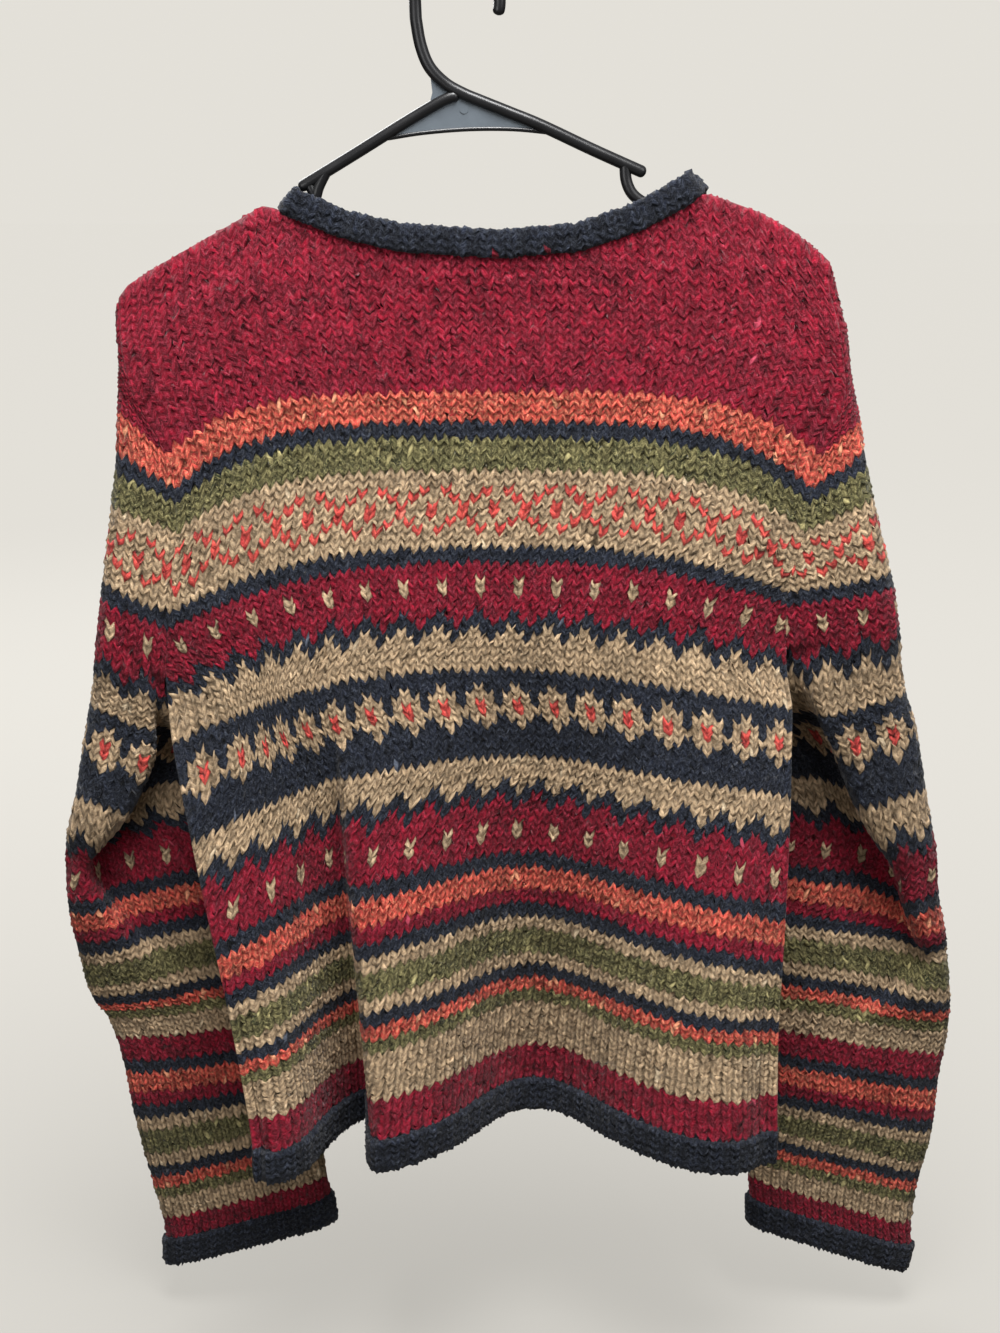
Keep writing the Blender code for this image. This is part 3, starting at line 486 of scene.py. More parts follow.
def along(path, shares):
    """A path's points at shares of its length."""
    lengths = run_lengths(path)
    return at_lengths(path, lengths, shares * lengths[-1])


def section(panel, row):
    """The back's or the front's curve across the body at a row, as (x, y), left to right."""
    left, right = float(body("left", row)), float(body("right", row))
    lean = float(body("lean_" + panel, row))
    offset = AWAY[panel] * (float(body("gape", row)) + HALF_GAP)
    edge_left = float(body("side_left", row)) + offset
    edge_right = float(body("side_right", row)) + offset
    points = [(left, edge_left), (left + EDGE_INSET, blend(edge_left, lean, EDGE_LEAN))]
    for x_high, x_hem, depth, start in BACK_FOLDS if panel == "back" else FRONT_FOLDS:
        grown = min(max((start - row) / start, 0.0), FOLD_LIMIT)
        points.append((blend(x_high, x_hem, grown), lean + depth * grown ** FOLD_GROWTH))
    points += [(right - EDGE_INSET, blend(edge_right, lean, EDGE_LEAN)), (right, edge_right)]
    return spline(points, CURVE_STEPS)


def cut_section(panel, row, cut):
    """A panel's curve across the body at a row, cut short where a button band begins."""
    path = section(panel, row)
    if not cut:
        return path
    low, high = cut
    depth_low, depth_high = np.interp(cut, path[:, 0], path[:, 1])
    inner = path[(path[:, 0] > low) & (path[:, 0] < high)]
    first = (low, depth_low) if low > path[0, 0] else path[0]
    last = (high, depth_high) if high < path[-1, 0] else path[-1]
    return np.vstack([first, inner, last])


def row_drop(panel, x, rows):
    """How far a row hangs below its middle at places across the body; the fronts dip at their middle."""
    to_left = x < MIDDLE_X
    reach = np.where(to_left, body("left", rows), body("right", rows)) - MIDDLE_X
    share = np.abs(x - MIDDLE_X) / np.abs(reach)
    drop = np.where(to_left, body("drop_left", rows), body("drop_right", rows))
    droop = drop * share ** np.where(to_left, body("bend_left", rows), body("bend_right", rows))
    if panel == "front":
        droop = droop + FRONT_DROP * ease(1.0 - share) * ease(1.0 - rows / UNDERARM_ROW)
    return droop


def front_top(x):
    """The front's shoulder line and its round neckline."""
    half = 0.5 * (NECK_RIGHT - NECK_LEFT)
    share = np.clip(np.abs(x - 0.5 * (NECK_LEFT + NECK_RIGHT)) / half, 0.0, 1.0)
    rim = outline(BACK_TOP, np.where(x < MIDDLE_X, NECK_LEFT, NECK_RIGHT))
    hollow = rim + (FRONT_NECK_LOW - rim) * (1.0 - share ** FRONT_NECK_ROUND) ** FRONT_NECK_SHARP
    return np.where((x <= NECK_LEFT) | (x >= NECK_RIGHT), outline(BACK_TOP, x), hollow)


def top_height(panel, x):
    """The height of a panel's upper edge at places across the body."""
    return outline(BACK_TOP, x) if panel == "back" else front_top(x)


def neck_depth(x):
    """How far the neckline stands from the middle, and how far inside the neck a place is."""
    inside = np.minimum(x - NECK_LEFT, NECK_RIGHT - x)
    return blend(NECK_DEPTH_CORNER, NECK_DEPTH_MIDDLE, ease(inside / NECK_INNER_EASE)), inside


def settle(panel, x, y, rows):
    """The points of a panel for places on its section: hung on the rail and drooped at the sides."""
    z = body("height", rows) - row_drop(panel, x, rows)
    below = np.maximum(top_height(panel, x) - z, 0.0)
    radius = ROD_RADIUS + RAIL_CLEAR
    over_rail = HALF_GAP + radius * round_in(below / radius)
    at_neck, inside = neck_depth(x)
    near_top = AWAY[panel] * blend(at_neck, over_rail, ease(-inside / NECK_EASE))
    depth = blend(near_top, y, ease((below - radius) / RAIL_BLEND))
    return np.stack((x, depth, z), axis=-1)


def sample(table, row_at, share_at):
    """Values between a table's rows and columns, where both places are counted in its steps."""
    i = np.clip(np.floor(row_at).astype(int), 0, table.shape[0] - 2)
    j = np.clip(np.floor(share_at).astype(int), 0, table.shape[1] - 2)
    s = (row_at - i)[..., None]
    t = (share_at - j)[..., None]
    low = table[i, j] * (1 - t) + table[i, j + 1] * t
    high = table[i + 1, j] * (1 - t) + table[i + 1, j + 1] * t
    return low * (1 - s) + high * s


def panel_surface(panel, edges, cut=None, gather=False):
    """A panel's points by row and column, and where its rows and columns end."""
    table = np.array([along(cut_section(panel, float(row), cut), SHARES) for row in BODY_LINES])

    def ends(rows):
        return measure(EDGE_COLUMNS, edges, "low", rows), measure(EDGE_COLUMNS, edges, "high", rows)

    def place(rows, columns):
        low, high = ends(rows)
        share = np.clip((columns - low) / (high - low), 0.0, 1.0)
        if gather:
            share = share + outline(GATHER, share) * outline(GATHER_ROWS, rows)
        flat = sample(table, rows - BODY_LINES[0], share * (len(SHARES) - 1))
        return flat[..., 0], flat[..., 1]

    columns = np.linspace(edges[0][1] - SPARE_COLUMNS, edges[0][2] + SPARE_COLUMNS, TOP_SAMPLES)
    low_row, high_row = [np.full(TOP_SAMPLES, row) for row in SEARCH_ROWS]
    for _ in range(SEARCH_STEPS):
        middle = 0.5 * (low_row + high_row)
        x, _ = place(middle, columns)
        under = body("height", middle) - row_drop(panel, x, middle) < top_height(panel, x)
        low_row, high_row = np.where(under, middle, low_row), np.where(under, high_row, middle)
    tops = 0.5 * (low_row + high_row)

    def hold(rows, columns_at):
        low, high = ends(rows)
        held_column = np.clip(columns_at, low, high)
        held_row = np.clip(rows, 0.0, np.interp(held_column, columns, tops))
        low, high = ends(held_row)
        return held_row, np.clip(held_column, low, high)

    def spot(rows, columns_at):
        x, y = place(rows, columns_at)
        return settle(panel, x, y, rows)

    return hold, spot, ends


def sleeve_value(side, name, row):
    """A measure of a sleeve at a row."""
    return look(SLEEVE_COLUMNS, SLEEVE_LEFT if side == "left" else SLEEVE_RIGHT, name, row)


def sleeve_ends(side, layer, row, value):
    """A layer's outer and inner ends at a row, the depth of the inner one, and how narrow the cap is."""
    away = -1.0 if side == "left" else 1.0
    outer = [value["out_x"] - away * WALL, value["out_z"]]
    if row > CLOSED_ROW:
        panel = "back" if layer == "near" else "front"
        path = section(panel, row - ROW_SHIFT)
        x, y = path[0] if side == "left" else path[-1]
        seam = settle(panel, np.array(x), np.array(y), np.array(row - ROW_SHIFT))
        inner = [seam[0] + away * ARMHOLE_GAP, seam[2]]
        outer[0] = away * max(away * outer[0], away * inner[0] + LEAST_SLEEVE)
        return outer, inner, seam[1], float(ease((row - CAP_ROW) / CAP_EASE))
    tucked = ease((row - TUCK_ROWS[0]) / TUCK_EASE[0]) * ease((TUCK_ROWS[1] - row) / TUCK_EASE[1])
    inner = [value["in_x"] - away * TUCK[side] * float(tucked), value["in_z"]]
    return outer, inner, 0.5 * (value["near"] + value["fold"] + value["far_in"]), 0.0


def sleeve_layer(side, layer, row):
    """A sleeve's near or far layer at a row: points from its outer fold to the seam or under the arm."""
    away = -1.0 if side == "left" else 1.0
    share = np.linspace(0.0, 1.0, SLEEVE_POINTS)
    value = {name: float(sleeve_value(side, name, row)) for name in SLEEVE_COLUMNS[1:]}
    outer, inner, inner_depth, narrow = sleeve_ends(side, layer, row, value)
    fold_at, sag = value["fold_at"], value["sag"]
    from_fold = (share - fold_at) / FOLD_LIP_WIDE
    lip = FOLD_LIP * min(value["fold"] / FULL_FOLD, 1.0) ** 2
    roll_over = -LIP_PEAK * from_fold * np.exp(-0.5 * from_fold ** 2) * lip
    past_fold = 1.0 / (1.0 + np.exp(-(share - fold_at) / FOLD_SHARP))
    if layer == "near":
        base = value["near"] + value["fold"] * past_fold
    else:
        base = blend(value["far_out"], value["far_in"], share)
        roll_over = 0.0
    closure = blend(0.5 * (value["near"] + value["far_out"]), inner_depth, ease(share))
    closing = 0.0 if row > CLOSED_ROW else float(ease((CLOSED_ROW + 1.0 - row) / CLOSING_ROWS))
    inner_end = blend(ease((1.0 - share) / INNER_EASE), round_in((1.0 - share) / INNER_ROUND), closing)
    shape = round_in(share / OUTER_ROUND) * inner_end
    droop = np.where(share < fold_at, sag * (share / fold_at) ** 2,
                     sag * np.maximum(1.0 - (share - fold_at) / SAG_END, 0.0))
    x = blend(outer[0], inner[0], share) - away * roll_over
    z = blend(outer[1], inner[1], share) - droop
    y = blend(blend(closure, base, shape), inner_depth * round_in(share), narrow)
    return np.stack((x, y, z), axis=1)


def shoulder_row(side):
    """The sleeve row that meets the shoulder line at the armhole's top."""
    low, high = SEARCH_ROWS
    for _ in range(SEARCH_STEPS):
        middle = 0.5 * (low + high)
        x = float(body(side, middle))
        z = float(body("height", middle) - row_drop("back", np.array(x), np.array(middle)))
        low, high = (middle, high) if z < float(outline(BACK_TOP, x)) else (low, middle)
    return low + ROW_SHIFT


def sleeve_surface(side, top):
    """A sleeve's points by row and column: the near layer on one side of column 0, the far on the other."""
    turn = 1.0 if side == "left" else -1.0
    tables, counts = {}, {}
    for layer in ("near", "far"):
        paths = [sleeve_layer(side, layer, float(row)) for row in SLEEVE_LINES]
        tables[layer] = np.array([along(path, SLEEVE_SHARES) for path in paths])
        lengths = [np.linalg.norm(np.diff(path, axis=0), axis=1).sum() for path in paths]
        counts[layer] = np.array(lengths) / SLEEVE_STITCH
    steps = len(SLEEVE_SHARES) - 1

    def widths(rows):
        return [np.interp(rows, SLEEVE_LINES, counts[layer]) for layer in ("near", "far")]

    def ends(rows):
        near, far = widths(rows)
        return (-far, near) if turn > 0 else (-near, far)

    def hold(rows, columns_at):
        held_row = np.clip(rows, 0.0, top)
        low, high = ends(held_row)
        return held_row, np.clip(columns_at, low, high)

    def spot(rows, columns_at):
        near, far = widths(rows)
        inward = columns_at * turn
        at = rows - SLEEVE_LINES[0]
        in_near = sample(tables["near"], at, np.clip(inward / near, 0, 1) * steps)
        in_far = sample(tables["far"], at, np.clip(-inward / far, 0, 1) * steps)
        return np.where((inward >= 0)[..., None], in_near, in_far)

    return hold, spot, ends


def normals(hold, spot, rows, columns, facing):
    """Unit normals of a surface at places on it."""
    right = spot(*hold(rows, columns + NORMAL_REACH)) - spot(*hold(rows, columns - NORMAL_REACH))
    up = spot(*hold(rows + NORMAL_REACH, columns)) - spot(*hold(rows - NORMAL_REACH, columns))
    out = np.cross(right, up) * facing
    return out / np.maximum(np.linalg.norm(out, axis=-1, keepdims=True), TINY)


def linear(colour):
    """A colour as the shader takes it, from the 0 to 255 values of a screen."""
    shares = np.array(colour) / 255.0
    return np.where(shares <= 0.04045, shares / 12.92, ((shares + 0.055) / 1.055) ** 2.4)


def leg_colours(letters):
    """The colour of each leg of a stitch, for a table of yarn letters: its two plies mixed unevenly."""
    mix = np.clip(rng.normal(DARK_PLY, DARK_PLY_SPREAD, letters.shape + (1,)), 0.0, 1.0)
    tone = 1.0 + rng.normal(0.0, LEG_TONE_SPREAD, letters.shape + (1,))
    slub = rng.random(letters.shape)
    made = np.zeros(letters.shape + (3,))
    for letter, (first, second, light, _, slubs) in YARNS.items():
        here = letters == letter
        made[here] = (blend(linear(first), linear(second), mix) * tone)[here]
        made[here & (slub < slubs)] = blend(linear(first), linear(light), SLUB_LIGHT)
    return made


def light_fibres(letters):
    """The colour of the light fibres in each leg, and their share."""
    made = np.zeros(letters.shape + (4,))
    for letter, (_, _, light, share, _) in YARNS.items():
        made[letters == letter] = (*linear(light), share)
    return made


def paint(mesh, faces, legs, fibres):
    """Two colour attributes on a mesh's corners: each face's yarn, and its light fibres."""
    sizes = [len(face) for face in faces]
    total = sum(sizes)
    for name, values in (("yarn", legs), ("fibre", fibres)):
        held = mesh.color_attributes.new(name, "FLOAT_COLOR", "CORNER")
        spread = np.ones((total, 4))
        values = np.array(values)
        spread[:, :values.shape[1]] = np.repeat(values, sizes, axis=0)
        held.data.foreach_set("color", spread.ravel())


def stitch_grid(ups, acrosses):
    """Steps up and across a grid of stitches, and how near each is to a stitch's edge, from 0 to 1."""
    i, j = np.meshgrid(np.arange(ups), np.arange(acrosses), indexing="ij")
    return i, j, np.abs((j % ACROSS) / ACROSS - 0.5) * 2.0


def stitch_loft(table, i, j):
    """How high the steps of a grid of stitches stand, by a table for one stitch."""
    return np.array([table[k] for k in range(UP)])[i % UP, j % ACROSS]


def face_areas(points):
    """The area of each face of a grid of points."""
    diagonal = points[1:, 1:] - points[:-1, :-1]
    other = points[1:, :-1] - points[:-1, 1:]
    return 0.5 * np.linalg.norm(np.cross(diagonal, other), axis=-1)


def face_map(part, b, a, across, up, corners):
    """Where a face of a grid lies on its part of the UV map."""
    left, bottom, wide, tall = part
    return tuple((left + wide * (b + db) / across, bottom + tall * (a + da) / up) for db, da in corners)


def ring_map(ring, turns):
    """Places round a small ring on the UV map."""
    x, y, radius = ring
    return tuple((x + radius * math.cos(turn), y + radius * math.sin(turn)) for turn in turns)


def face_lists(codes):
    """A mesh's lists of faces, yarns, light fibres and UV places, and a way to add a face of a leg."""
    leg_shade, leg_fibre = leg_colours(codes), light_fibres(codes)
    lists = ([], [], [], [])

    def add(corners, leg, places):
        for held, value in zip(lists, (corners, leg_shade[leg], leg_fibre[leg], places)):
            held.append(value)

    return lists, add


def make_piece(name, points, lists, loft, stitches, facing=None):
    """A piece of knit; with no facing given, its outside is found from its closed shape."""
    faces, legs, fibres, maps = lists
    mesh = bpy.data.meshes.new(name)
    mesh.from_pydata([tuple(point) for point in points * MM], [], faces)
    paint(mesh, faces, legs, fibres)
    uv = mesh.uv_layers.new(name="OFBake")
    uv.data.foreach_set("uv", np.array([pair for places in maps for pair in places]).ravel())
    # The loft also sets the wool shader's painted crease shade and leg highlight
    mesh.attributes.new("loft", "FLOAT", "POINT").data.foreach_set("value", loft)
    mesh.attributes.new("stitch", "FLOAT_VECTOR", "POINT").data.foreach_set("vector", stitches.ravel())
    shape = bmesh.new()
    shape.from_mesh(mesh)
    bmesh.ops.remove_doubles(shape, verts=shape.verts, dist=WELD)
    loose = [vertex for vertex in shape.verts if not vertex.link_faces]
    bmesh.ops.delete(shape, geom=loose, context="VERTS")
    if facing is None:
        bmesh.ops.recalc_face_normals(shape, faces=shape.faces)
    elif facing < 0:
        bmesh.ops.reverse_faces(shape, faces=shape.faces)
    shape.to_mesh(mesh)
    shape.free()
    mesh.shade_smooth()
    piece = bpy.data.objects.new(name, mesh)
    bpy.context.scene.collection.objects.link(piece)
    return piece


def knit(name, surface, rows, columns, chart, facing, shift=0):
    """A knitted shell: legs of each stitch stand up in points on the outside, plain cloth on the inside."""
    hold, spot, ends = surface
    first, last = rows
    low, high = columns
    count_up, count_across = last - first, high - low
    i, j, lean = stitch_grid(count_up * UP + 1, count_across * ACROSS + 1)
    line, column = first + i / UP, low + j / ACROSS
    edge_low, edge_high = ends(np.maximum(line, 0.0))
    outside = (column <= edge_low) | (column >= edge_high)
    row = line + POINT_RISE * np.where(outside, 0.5, lean)
    beyond = np.sign(column - 0.5 * (edge_low + edge_high)) * FAR_OUT
    held_row, held_column = hold(row, np.where(outside, beyond, column))
    pinned = outside | (np.abs(held_row - row) > MOVED) | (np.abs(held_column - column) > MOVED)

    def yarn_at(a, b):
        repeat = chart[min(first + a, len(chart) - 1)] if first + a >= 0 else "N"
        size = len(repeat)
        return repeat[(low + b - REPEAT_START[size] - shift) % size]

    codes = np.array([[[yarn_at(a, b)] * 2 for b in range(count_across)] for a in range(count_up)])
    flat_loft, rib_loft = [stitch_loft(table, i, j) for table in (STITCH_LOFT, RIB_STITCH_LOFT)]
    loft = blend(flat_loft, rib_loft, ease((RIB_END - row) / (RIB_END - RIB_START)))
    leg = (np.minimum(i // UP, count_up - 1), np.minimum(j // ACROSS, count_across - 1), j % ACROSS // 2)
    each = (count_up, count_across, 2)
    loft = loft * (1.0 + rng.normal(0.0, LEG_SPREAD, each)[leg]) + rng.normal(0.0, LOFT_SPREAD, loft.shape)
    loft = blend(loft, FUZZ_LEVEL, np.vectorize(FUZZ_FILL.get)(codes)[leg])
    loft = np.where(pinned, EDGE_LOFT, loft)
    drift = np.where(pinned, 0.0, 1.0)
    stitch_drift = rng.normal(0.0, STITCH_DRIFT, each[:2])[leg[:2]]
    held_column = held_column + rng.normal(0.0, COLUMN_DRIFT, loft.shape) * drift
    held_row = held_row + (rng.normal(0.0, ROW_DRIFT, loft.shape) + stitch_drift) * drift
    held_row, held_column = hold(held_row, held_column)
    height = CREASE + LOFT * loft
    out = normals(hold, spot, held_row, held_column, facing)
    outer = spot(held_row, held_column) + out * height[..., None]
    step = UP * INNER_ROWS
    inside = np.s_[::step, ::ACROSS]
    inner = spot(held_row[inside], held_column[inside]) + out[inside] * INNER_LIFT

    wide, tall = count_across * ACROSS + 1, count_up * UP
    inner_wide, inner_tall = count_across + 1, count_up // INNER_ROWS
    start = outer.shape[0] * outer.shape[1]
    lists, add = face_lists(codes)
    area = face_areas(outer)
    both_held = pinned[1:, 1:] & pinned[:-1, :-1] & pinned[1:, :-1] & pinned[:-1, 1:]
    for a in range(tall):
        for b in range(wide - 1):
            if area[a, b] < (LEAST_HELD_FACE if both_held[a, b] else LEAST_FACE):
                continue
            base = a * wide + b
            add((base, base + 1, base + wide + 1, base + wide), (a // UP, b // ACROSS, b % ACROSS // 2),
                face_map(UV_OUTSIDE, b, a, wide - 1, tall, OUTWARD_TURN))
    area = face_areas(inner)
    for a in range(inner_tall):
        for b in range(count_across):
            if area[a, b] < LEAST_FACE:
                continue
            base = start + a * inner_wide + b
            add((base, base + inner_wide, base + inner_wide + 1, base + 1), (a * INNER_ROWS, b, 0),
                face_map(UV_INSIDE, b, a, count_across, inner_tall, INWARD_TURN))
    top, inner_top = tall * wide, start + inner_tall * inner_wide
    rims = []
    for b in range(count_across):
        run = [b * ACROSS + k for k in range(ACROSS + 1)]
        rims.append(([start + b, start + b + 1] + run[::-1], 0, b))
        rims.append(([inner_top + b + 1, inner_top + b] + [top + k for k in run], -1, b))
    for a in range(inner_tall):
        below, above = start + a * inner_wide, start + (a + 1) * inner_wide
        run = [(a * step + k) * wide for k in range(step + 1)]
        rims.append(([above, below] + run, a * INNER_ROWS, 0))
        run = [k + wide - 1 for k in run]
        rims.append(([below + count_across, above + count_across] + run[::-1], a * INNER_ROWS, -1))
    for corners, a, b in rims:
        add(tuple(corners), (a, b, 0), ring_map(UV_RIM, range(len(corners))))

    # The loft by which the shader paints its crease shade and leg highlight
    painted_shade_loft = np.where(pinned, EDGE_DEPTH, np.clip(loft, 0.0, 1.0))
    depth = np.concatenate((painted_shade_loft.ravel(), np.full(inner.shape[0] * inner.shape[1], INNER_DEPTH)))
    stitches = np.stack((column, line, np.zeros(line.shape)), axis=-1)
    stitches = np.concatenate((stitches.reshape(-1, 3), stitches[inside].reshape(-1, 3)))
    points = np.concatenate((outer.reshape(-1, 3), inner.reshape(-1, 3)))
    return make_piece(name, points, lists, depth, stitches, facing)


def across_from(path, up, sign):
    """The way outwards from a band at each point of its path."""
    out = np.cross(np.gradient(path, axis=0), up) * sign
    return out / np.maximum(np.linalg.norm(out, axis=1, keepdims=True), TINY)


def stadium(turn, half, radius):
    """A rounded band's cut: places (up, out) and the way outwards, for turns from 0 to 1 round it."""
    arc = math.pi * radius
    run = np.mod(turn, 1.0) * (4 * half + 2 * arc)
    level, one = 0 * run, 1 + 0 * run
    over = (run - 2 * half) / radius
    under = (run - 4 * half - arc) / radius
    choose = [run < 2 * half, run < 2 * half + arc, run < 4 * half + arc]
    up = np.select(choose, [run - half, half + radius * np.sin(over), half - (run - 2 * half - arc)],
                   -half - radius * np.sin(under))
    normal_up = np.select(choose, [level, np.sin(over), level], -np.sin(under))
    normal_out = np.select(choose, [one, np.cos(over), -one], -np.cos(under))
    return up, radius * normal_out, normal_up, normal_out


def roll(name, path, up, out, deep, wall, closed=False, rib=RIB_SUNK, pitch=ROLL_PITCH, odd_legs=0.0):
    """A ribbed band of thick knit along a path: a rounded cut with the legs of its stitches standing up."""
    lengths = run_lengths(path)
    across = max(int(round(lengths[-1] / pitch / 2)) * 2, 2)
    radius = wall / 2 - ROLL_INSET
    half = deep / 2 - radius - ROLL_EASE
    around = int(round((4 * half + 2 * math.pi * radius) / RING_PITCH))
    wide, tall = across * ACROSS + 1, around * UP
    i, j, lean = stitch_grid(tall, wide)
    free = (0 < j) & (j < j.max())
    turn = (i / UP + RIB_RISE * lean + rng.normal(0.0, ROW_DRIFT, i.shape) * free) / around
    goal = j / (across * ACROSS) * lengths[-1] + rng.normal(0.0, PATH_DRIFT, j.shape) * free
    goal = np.clip(goal, 0.0, lengths[-1])
    centre, ways_up, ways_out = [at_lengths(field, lengths, goal) for field in (path, up, out)]
    sunk = (j // ACROSS % 2 == 1) & (lean < 1.0)
    loft = stitch_loft(STITCH_LOFT, i, j) * np.where(sunk, rib, 1.0) + rng.normal(0.0, RIB_SPREAD, i.shape)
    if closed:
        loft[:, -1] = loft[:, 0]
    place_up, place_out, normal_up, normal_out = stadium(turn, half, radius)
    high = RIB_LOFT * loft
    points = (centre + ways_up * (place_up + normal_up * high)[..., None]
              + ways_out * (place_out + normal_out * high)[..., None])
    lists, add = face_lists(np.where(rng.random((around, across, 2)) < odd_legs, "C", "N"))
    for a in range(tall):
        after = (a + 1) % tall
        for b in range(wide - 1):
            places = face_map(UV_ROLL, b, a, wide - 1, tall, OUTWARD_TURN)
            add((a * wide + b, a * wide + b + 1, after * wide + b + 1, after * wide + b),
                (a // UP, b // ACROSS, b % ACROSS // 2), places)
    if not closed:
        ring = ring_map(UV_ROLL_END, [FULL_TURN * k / tall for k in range(tall)])
        for end, order in ((0, 1), (wide - 1, -1)):
            add(tuple(a * wide + end for a in range(tall))[::order], (0, 0, 0), ring)
    stitches = np.stack((j / ACROSS, i / UP, np.zeros(i.shape)), axis=-1)
    return make_piece(name, points.reshape(-1, 3), lists, np.clip(loft, 0.0, 1.0).ravel(), stitches)


def hem(name, panel, cut=None):
    """A hem band under a panel's lowest row."""
    path = section(panel, 0.0)
    if cut:
        path = path[(path[:, 0] > cut[0]) & (path[:, 0] < cut[1])]
    path = along(path, np.linspace(0.0, 1.0, HEM_POINTS))
    x, y = path[:, 0], path[:, 1]
    z = body("height", 0.0) - row_drop(panel, x, np.zeros_like(x)) - (HEM_DEEP - HEM_LAP) / 2
    line = np.stack((x, y, z), axis=1)
    up = np.tile((0.0, 0.0, 1.0), (len(line), 1))
    out = across_from(line, up, -AWAY[panel])
    return roll(name, line + out * BAND_WALL / 2, up, out, HEM_DEEP + HEM_LAP, BAND_WALL, pitch=HEM_PITCH)


def cuff(side):
    """A sleeve's cuff, a short tube under its cuff line."""
    rings = []
    for row in CUFF_ROWS:
        near, far = sleeve_layer(side, "near", row), sleeve_layer(side, "far", row)
        rings.append(np.vstack((near[::-1], far[1:])))
    up = rings[0] - rings[1]
    up = up / np.linalg.norm(up, axis=1, keepdims=True)
    line = blend(rings[0], rings[1], 0.5) + up * HEM_LAP / 2
    out = across_from(line, up, 1.0)
    # The near layer's outside faces the back view
    if out[len(out) // 4, 1] > 0:
        out = -out
    out[0] = out[-1] = (out[0] + out[-1]) / max(np.linalg.norm(out[0] + out[-1]), TINY)
    return roll("cuff_" + side + "_rib", line + out * BAND_WALL / 2, up, out, CUFF_DEEP + HEM_LAP, BAND_WALL,
                closed=True, pitch=HEM_PITCH)


def neck_part(panel, low, high, count):
    """A stretch of neckline: its points in the middle of the wall, and the way across the neckband."""
    x = np.linspace(low, high, count)
    depth = AWAY[panel] * (neck_depth(x)[0] + WALL / 2)
    line = np.stack((x, depth, top_height(panel, x)), axis=1)
    tangent = np.gradient(line, axis=0)
    way = np.stack((-tangent[:, 2], 0.0 * x, tangent[:, 0]), axis=1)
    return line, way / np.linalg.norm(way, axis=1, keepdims=True)


def smooth_ways(ways):
    """Directions along a path, evened out."""
    for _ in range(3):
        ways[1:-1] = (ways[:-2] + 2 * ways[1:-1] + ways[2:]) / 4
        ways /= np.linalg.norm(ways, axis=1, keepdims=True)
    return ways


def neckband():
    """The neckband: from the left front's middle, over the rails and round the back to the right one."""
    start, end = NECK_LEFT + NECK_TRIM, NECK_RIGHT - NECK_TRIM
    left, left_way = neck_part("front", start, LEFT_CUT[1], FRONT_NECK_POINTS)
    back, back_way = neck_part("back", start, end, BACK_NECK_POINTS)
    right, right_way = neck_part("front", RIGHT_CUT[0], end, FRONT_NECK_POINTS)
    path = np.vstack((left[::-1], [CORNER_LEFT], back, [CORNER_RIGHT], right[::-1]))
    way = smooth_ways(np.vstack((left_way[::-1], [LEAN_LEFT], back_way, [LEAN_RIGHT], right_way[::-1])))
    line = path + way * (NECKBAND_WIDE - NECK_SEAT) / 2
    out = smooth_ways(across_from(line, way, 1.0))
    deep, wall = NECKBAND_WIDE + NECK_EXTRA_DEEP, NECKBAND_WALL + NECK_EXTRA_WALL
    return roll("neckband_rib", line, way, out, deep, wall, pitch=NECK_PITCH, odd_legs=NECK_ODD_LEGS)


def front_depth(x, row):
    """The depth of the front's inner face at a place and row."""
    path = section("front", row)
    return float(np.interp(x, path[:, 0], path[:, 1]))


def row_at(height):
    """The row whose middle hangs at a height."""
    return float(np.interp(height, [line[1] for line in BODY], [line[0] for line in BODY]))


def button_band(side, lift):
    """A button band down the middle of the front, lifted off the fronts' inner face."""
    bottom = float(body("height", 0.0)) - FRONT_DROP - HEM_DEEP
    heights = np.linspace(bottom, FRONT_NECK_LOW + BUTTON_BAND_RISE, BUTTON_BAND_POINTS)
    depth = np.array([front_depth(MIDDLE_X, row_at(height)) for height in heights])
    line = np.stack((MIDDLE_X + 0 * heights, depth + lift + WALL / 2, heights), axis=1)
    up = np.tile((1.0, 0.0, 0.0), (len(line), 1))
    out = across_from(line, up, 1.0)
    if out[0, 1] < 0:
        out = -out
    return roll("button_band_" + side + "_rib", line, up, out, BUTTON_BAND_WIDE, WALL, rib=BUTTON_BAND_SUNK)


# Hanger seen from the back, as (x, height)
HOOK_RADIUS = 24.0
HOOK_ROD = 3.5
HOOK_START = -12.0
HOOK_STEPS = 40
HOOK_BENDS = 8
ROD_BENDS = 6
ROD_SIDES = 4
ROD_WELD = 0.00001
# How far a rod's rounded end reaches, as a share of its radius, and the angles of its rings
ROD_END = 0.8
ROD_END_ANGLES = (85, 65, 45, 25)
RAIL_RADIUS = ROD_RADIUS - 0.05
LINK_RADIUS = ROD_RADIUS - 0.6
WEB_RIM_RADIUS = 1.3
WEB_THICK = 1.4
GATE_RADIUS = 2.6
GATE_THICK = 2.0
GATE_SIDES = 12
SMOOTH_ANGLE = math.radians(35)
LEFT_ARM = ((-90, -121.5), (-60, -104), (-28, -85), (-9, -74.5), (-2, -72))
HOOK_AND_ARM = (
    (-23.5, -30), (-21, -44), (-16, -56), (-7, -65), (3, -70.5), (13, -74.5), (30, -81), (48, -88),
    (78, -101.5), (106, -113.5))
RAIL_LEFT = (
    (-76.5, -113.5), (-81, -122), (-84, -131), (-89, -139), (-97, -142), (-107, -141), (-115, -140),
    (-127, -147.5), (-151, -160.5), (-175, -173.5), (-190, -184), (-194, -192))
RAIL_RIGHT = (
    (96.5, -109.5), (97.5, -119), (102, -127), (112, -133), (125, -136.5), (140, -136.5), (154, -138.5),
    (175, -144), (194, -154), (209, -166), (216, -177))
LINK_LEFT = ((-87, -120), (-84.5, -126), (-84.5, -133), (-79, -138))
GATE_X = 3.5
GATE_HEIGHT = -79.0
WEB_RIM = ((-40, -95), (-20, -92), (6, -90), (32, -90), (54, -92))
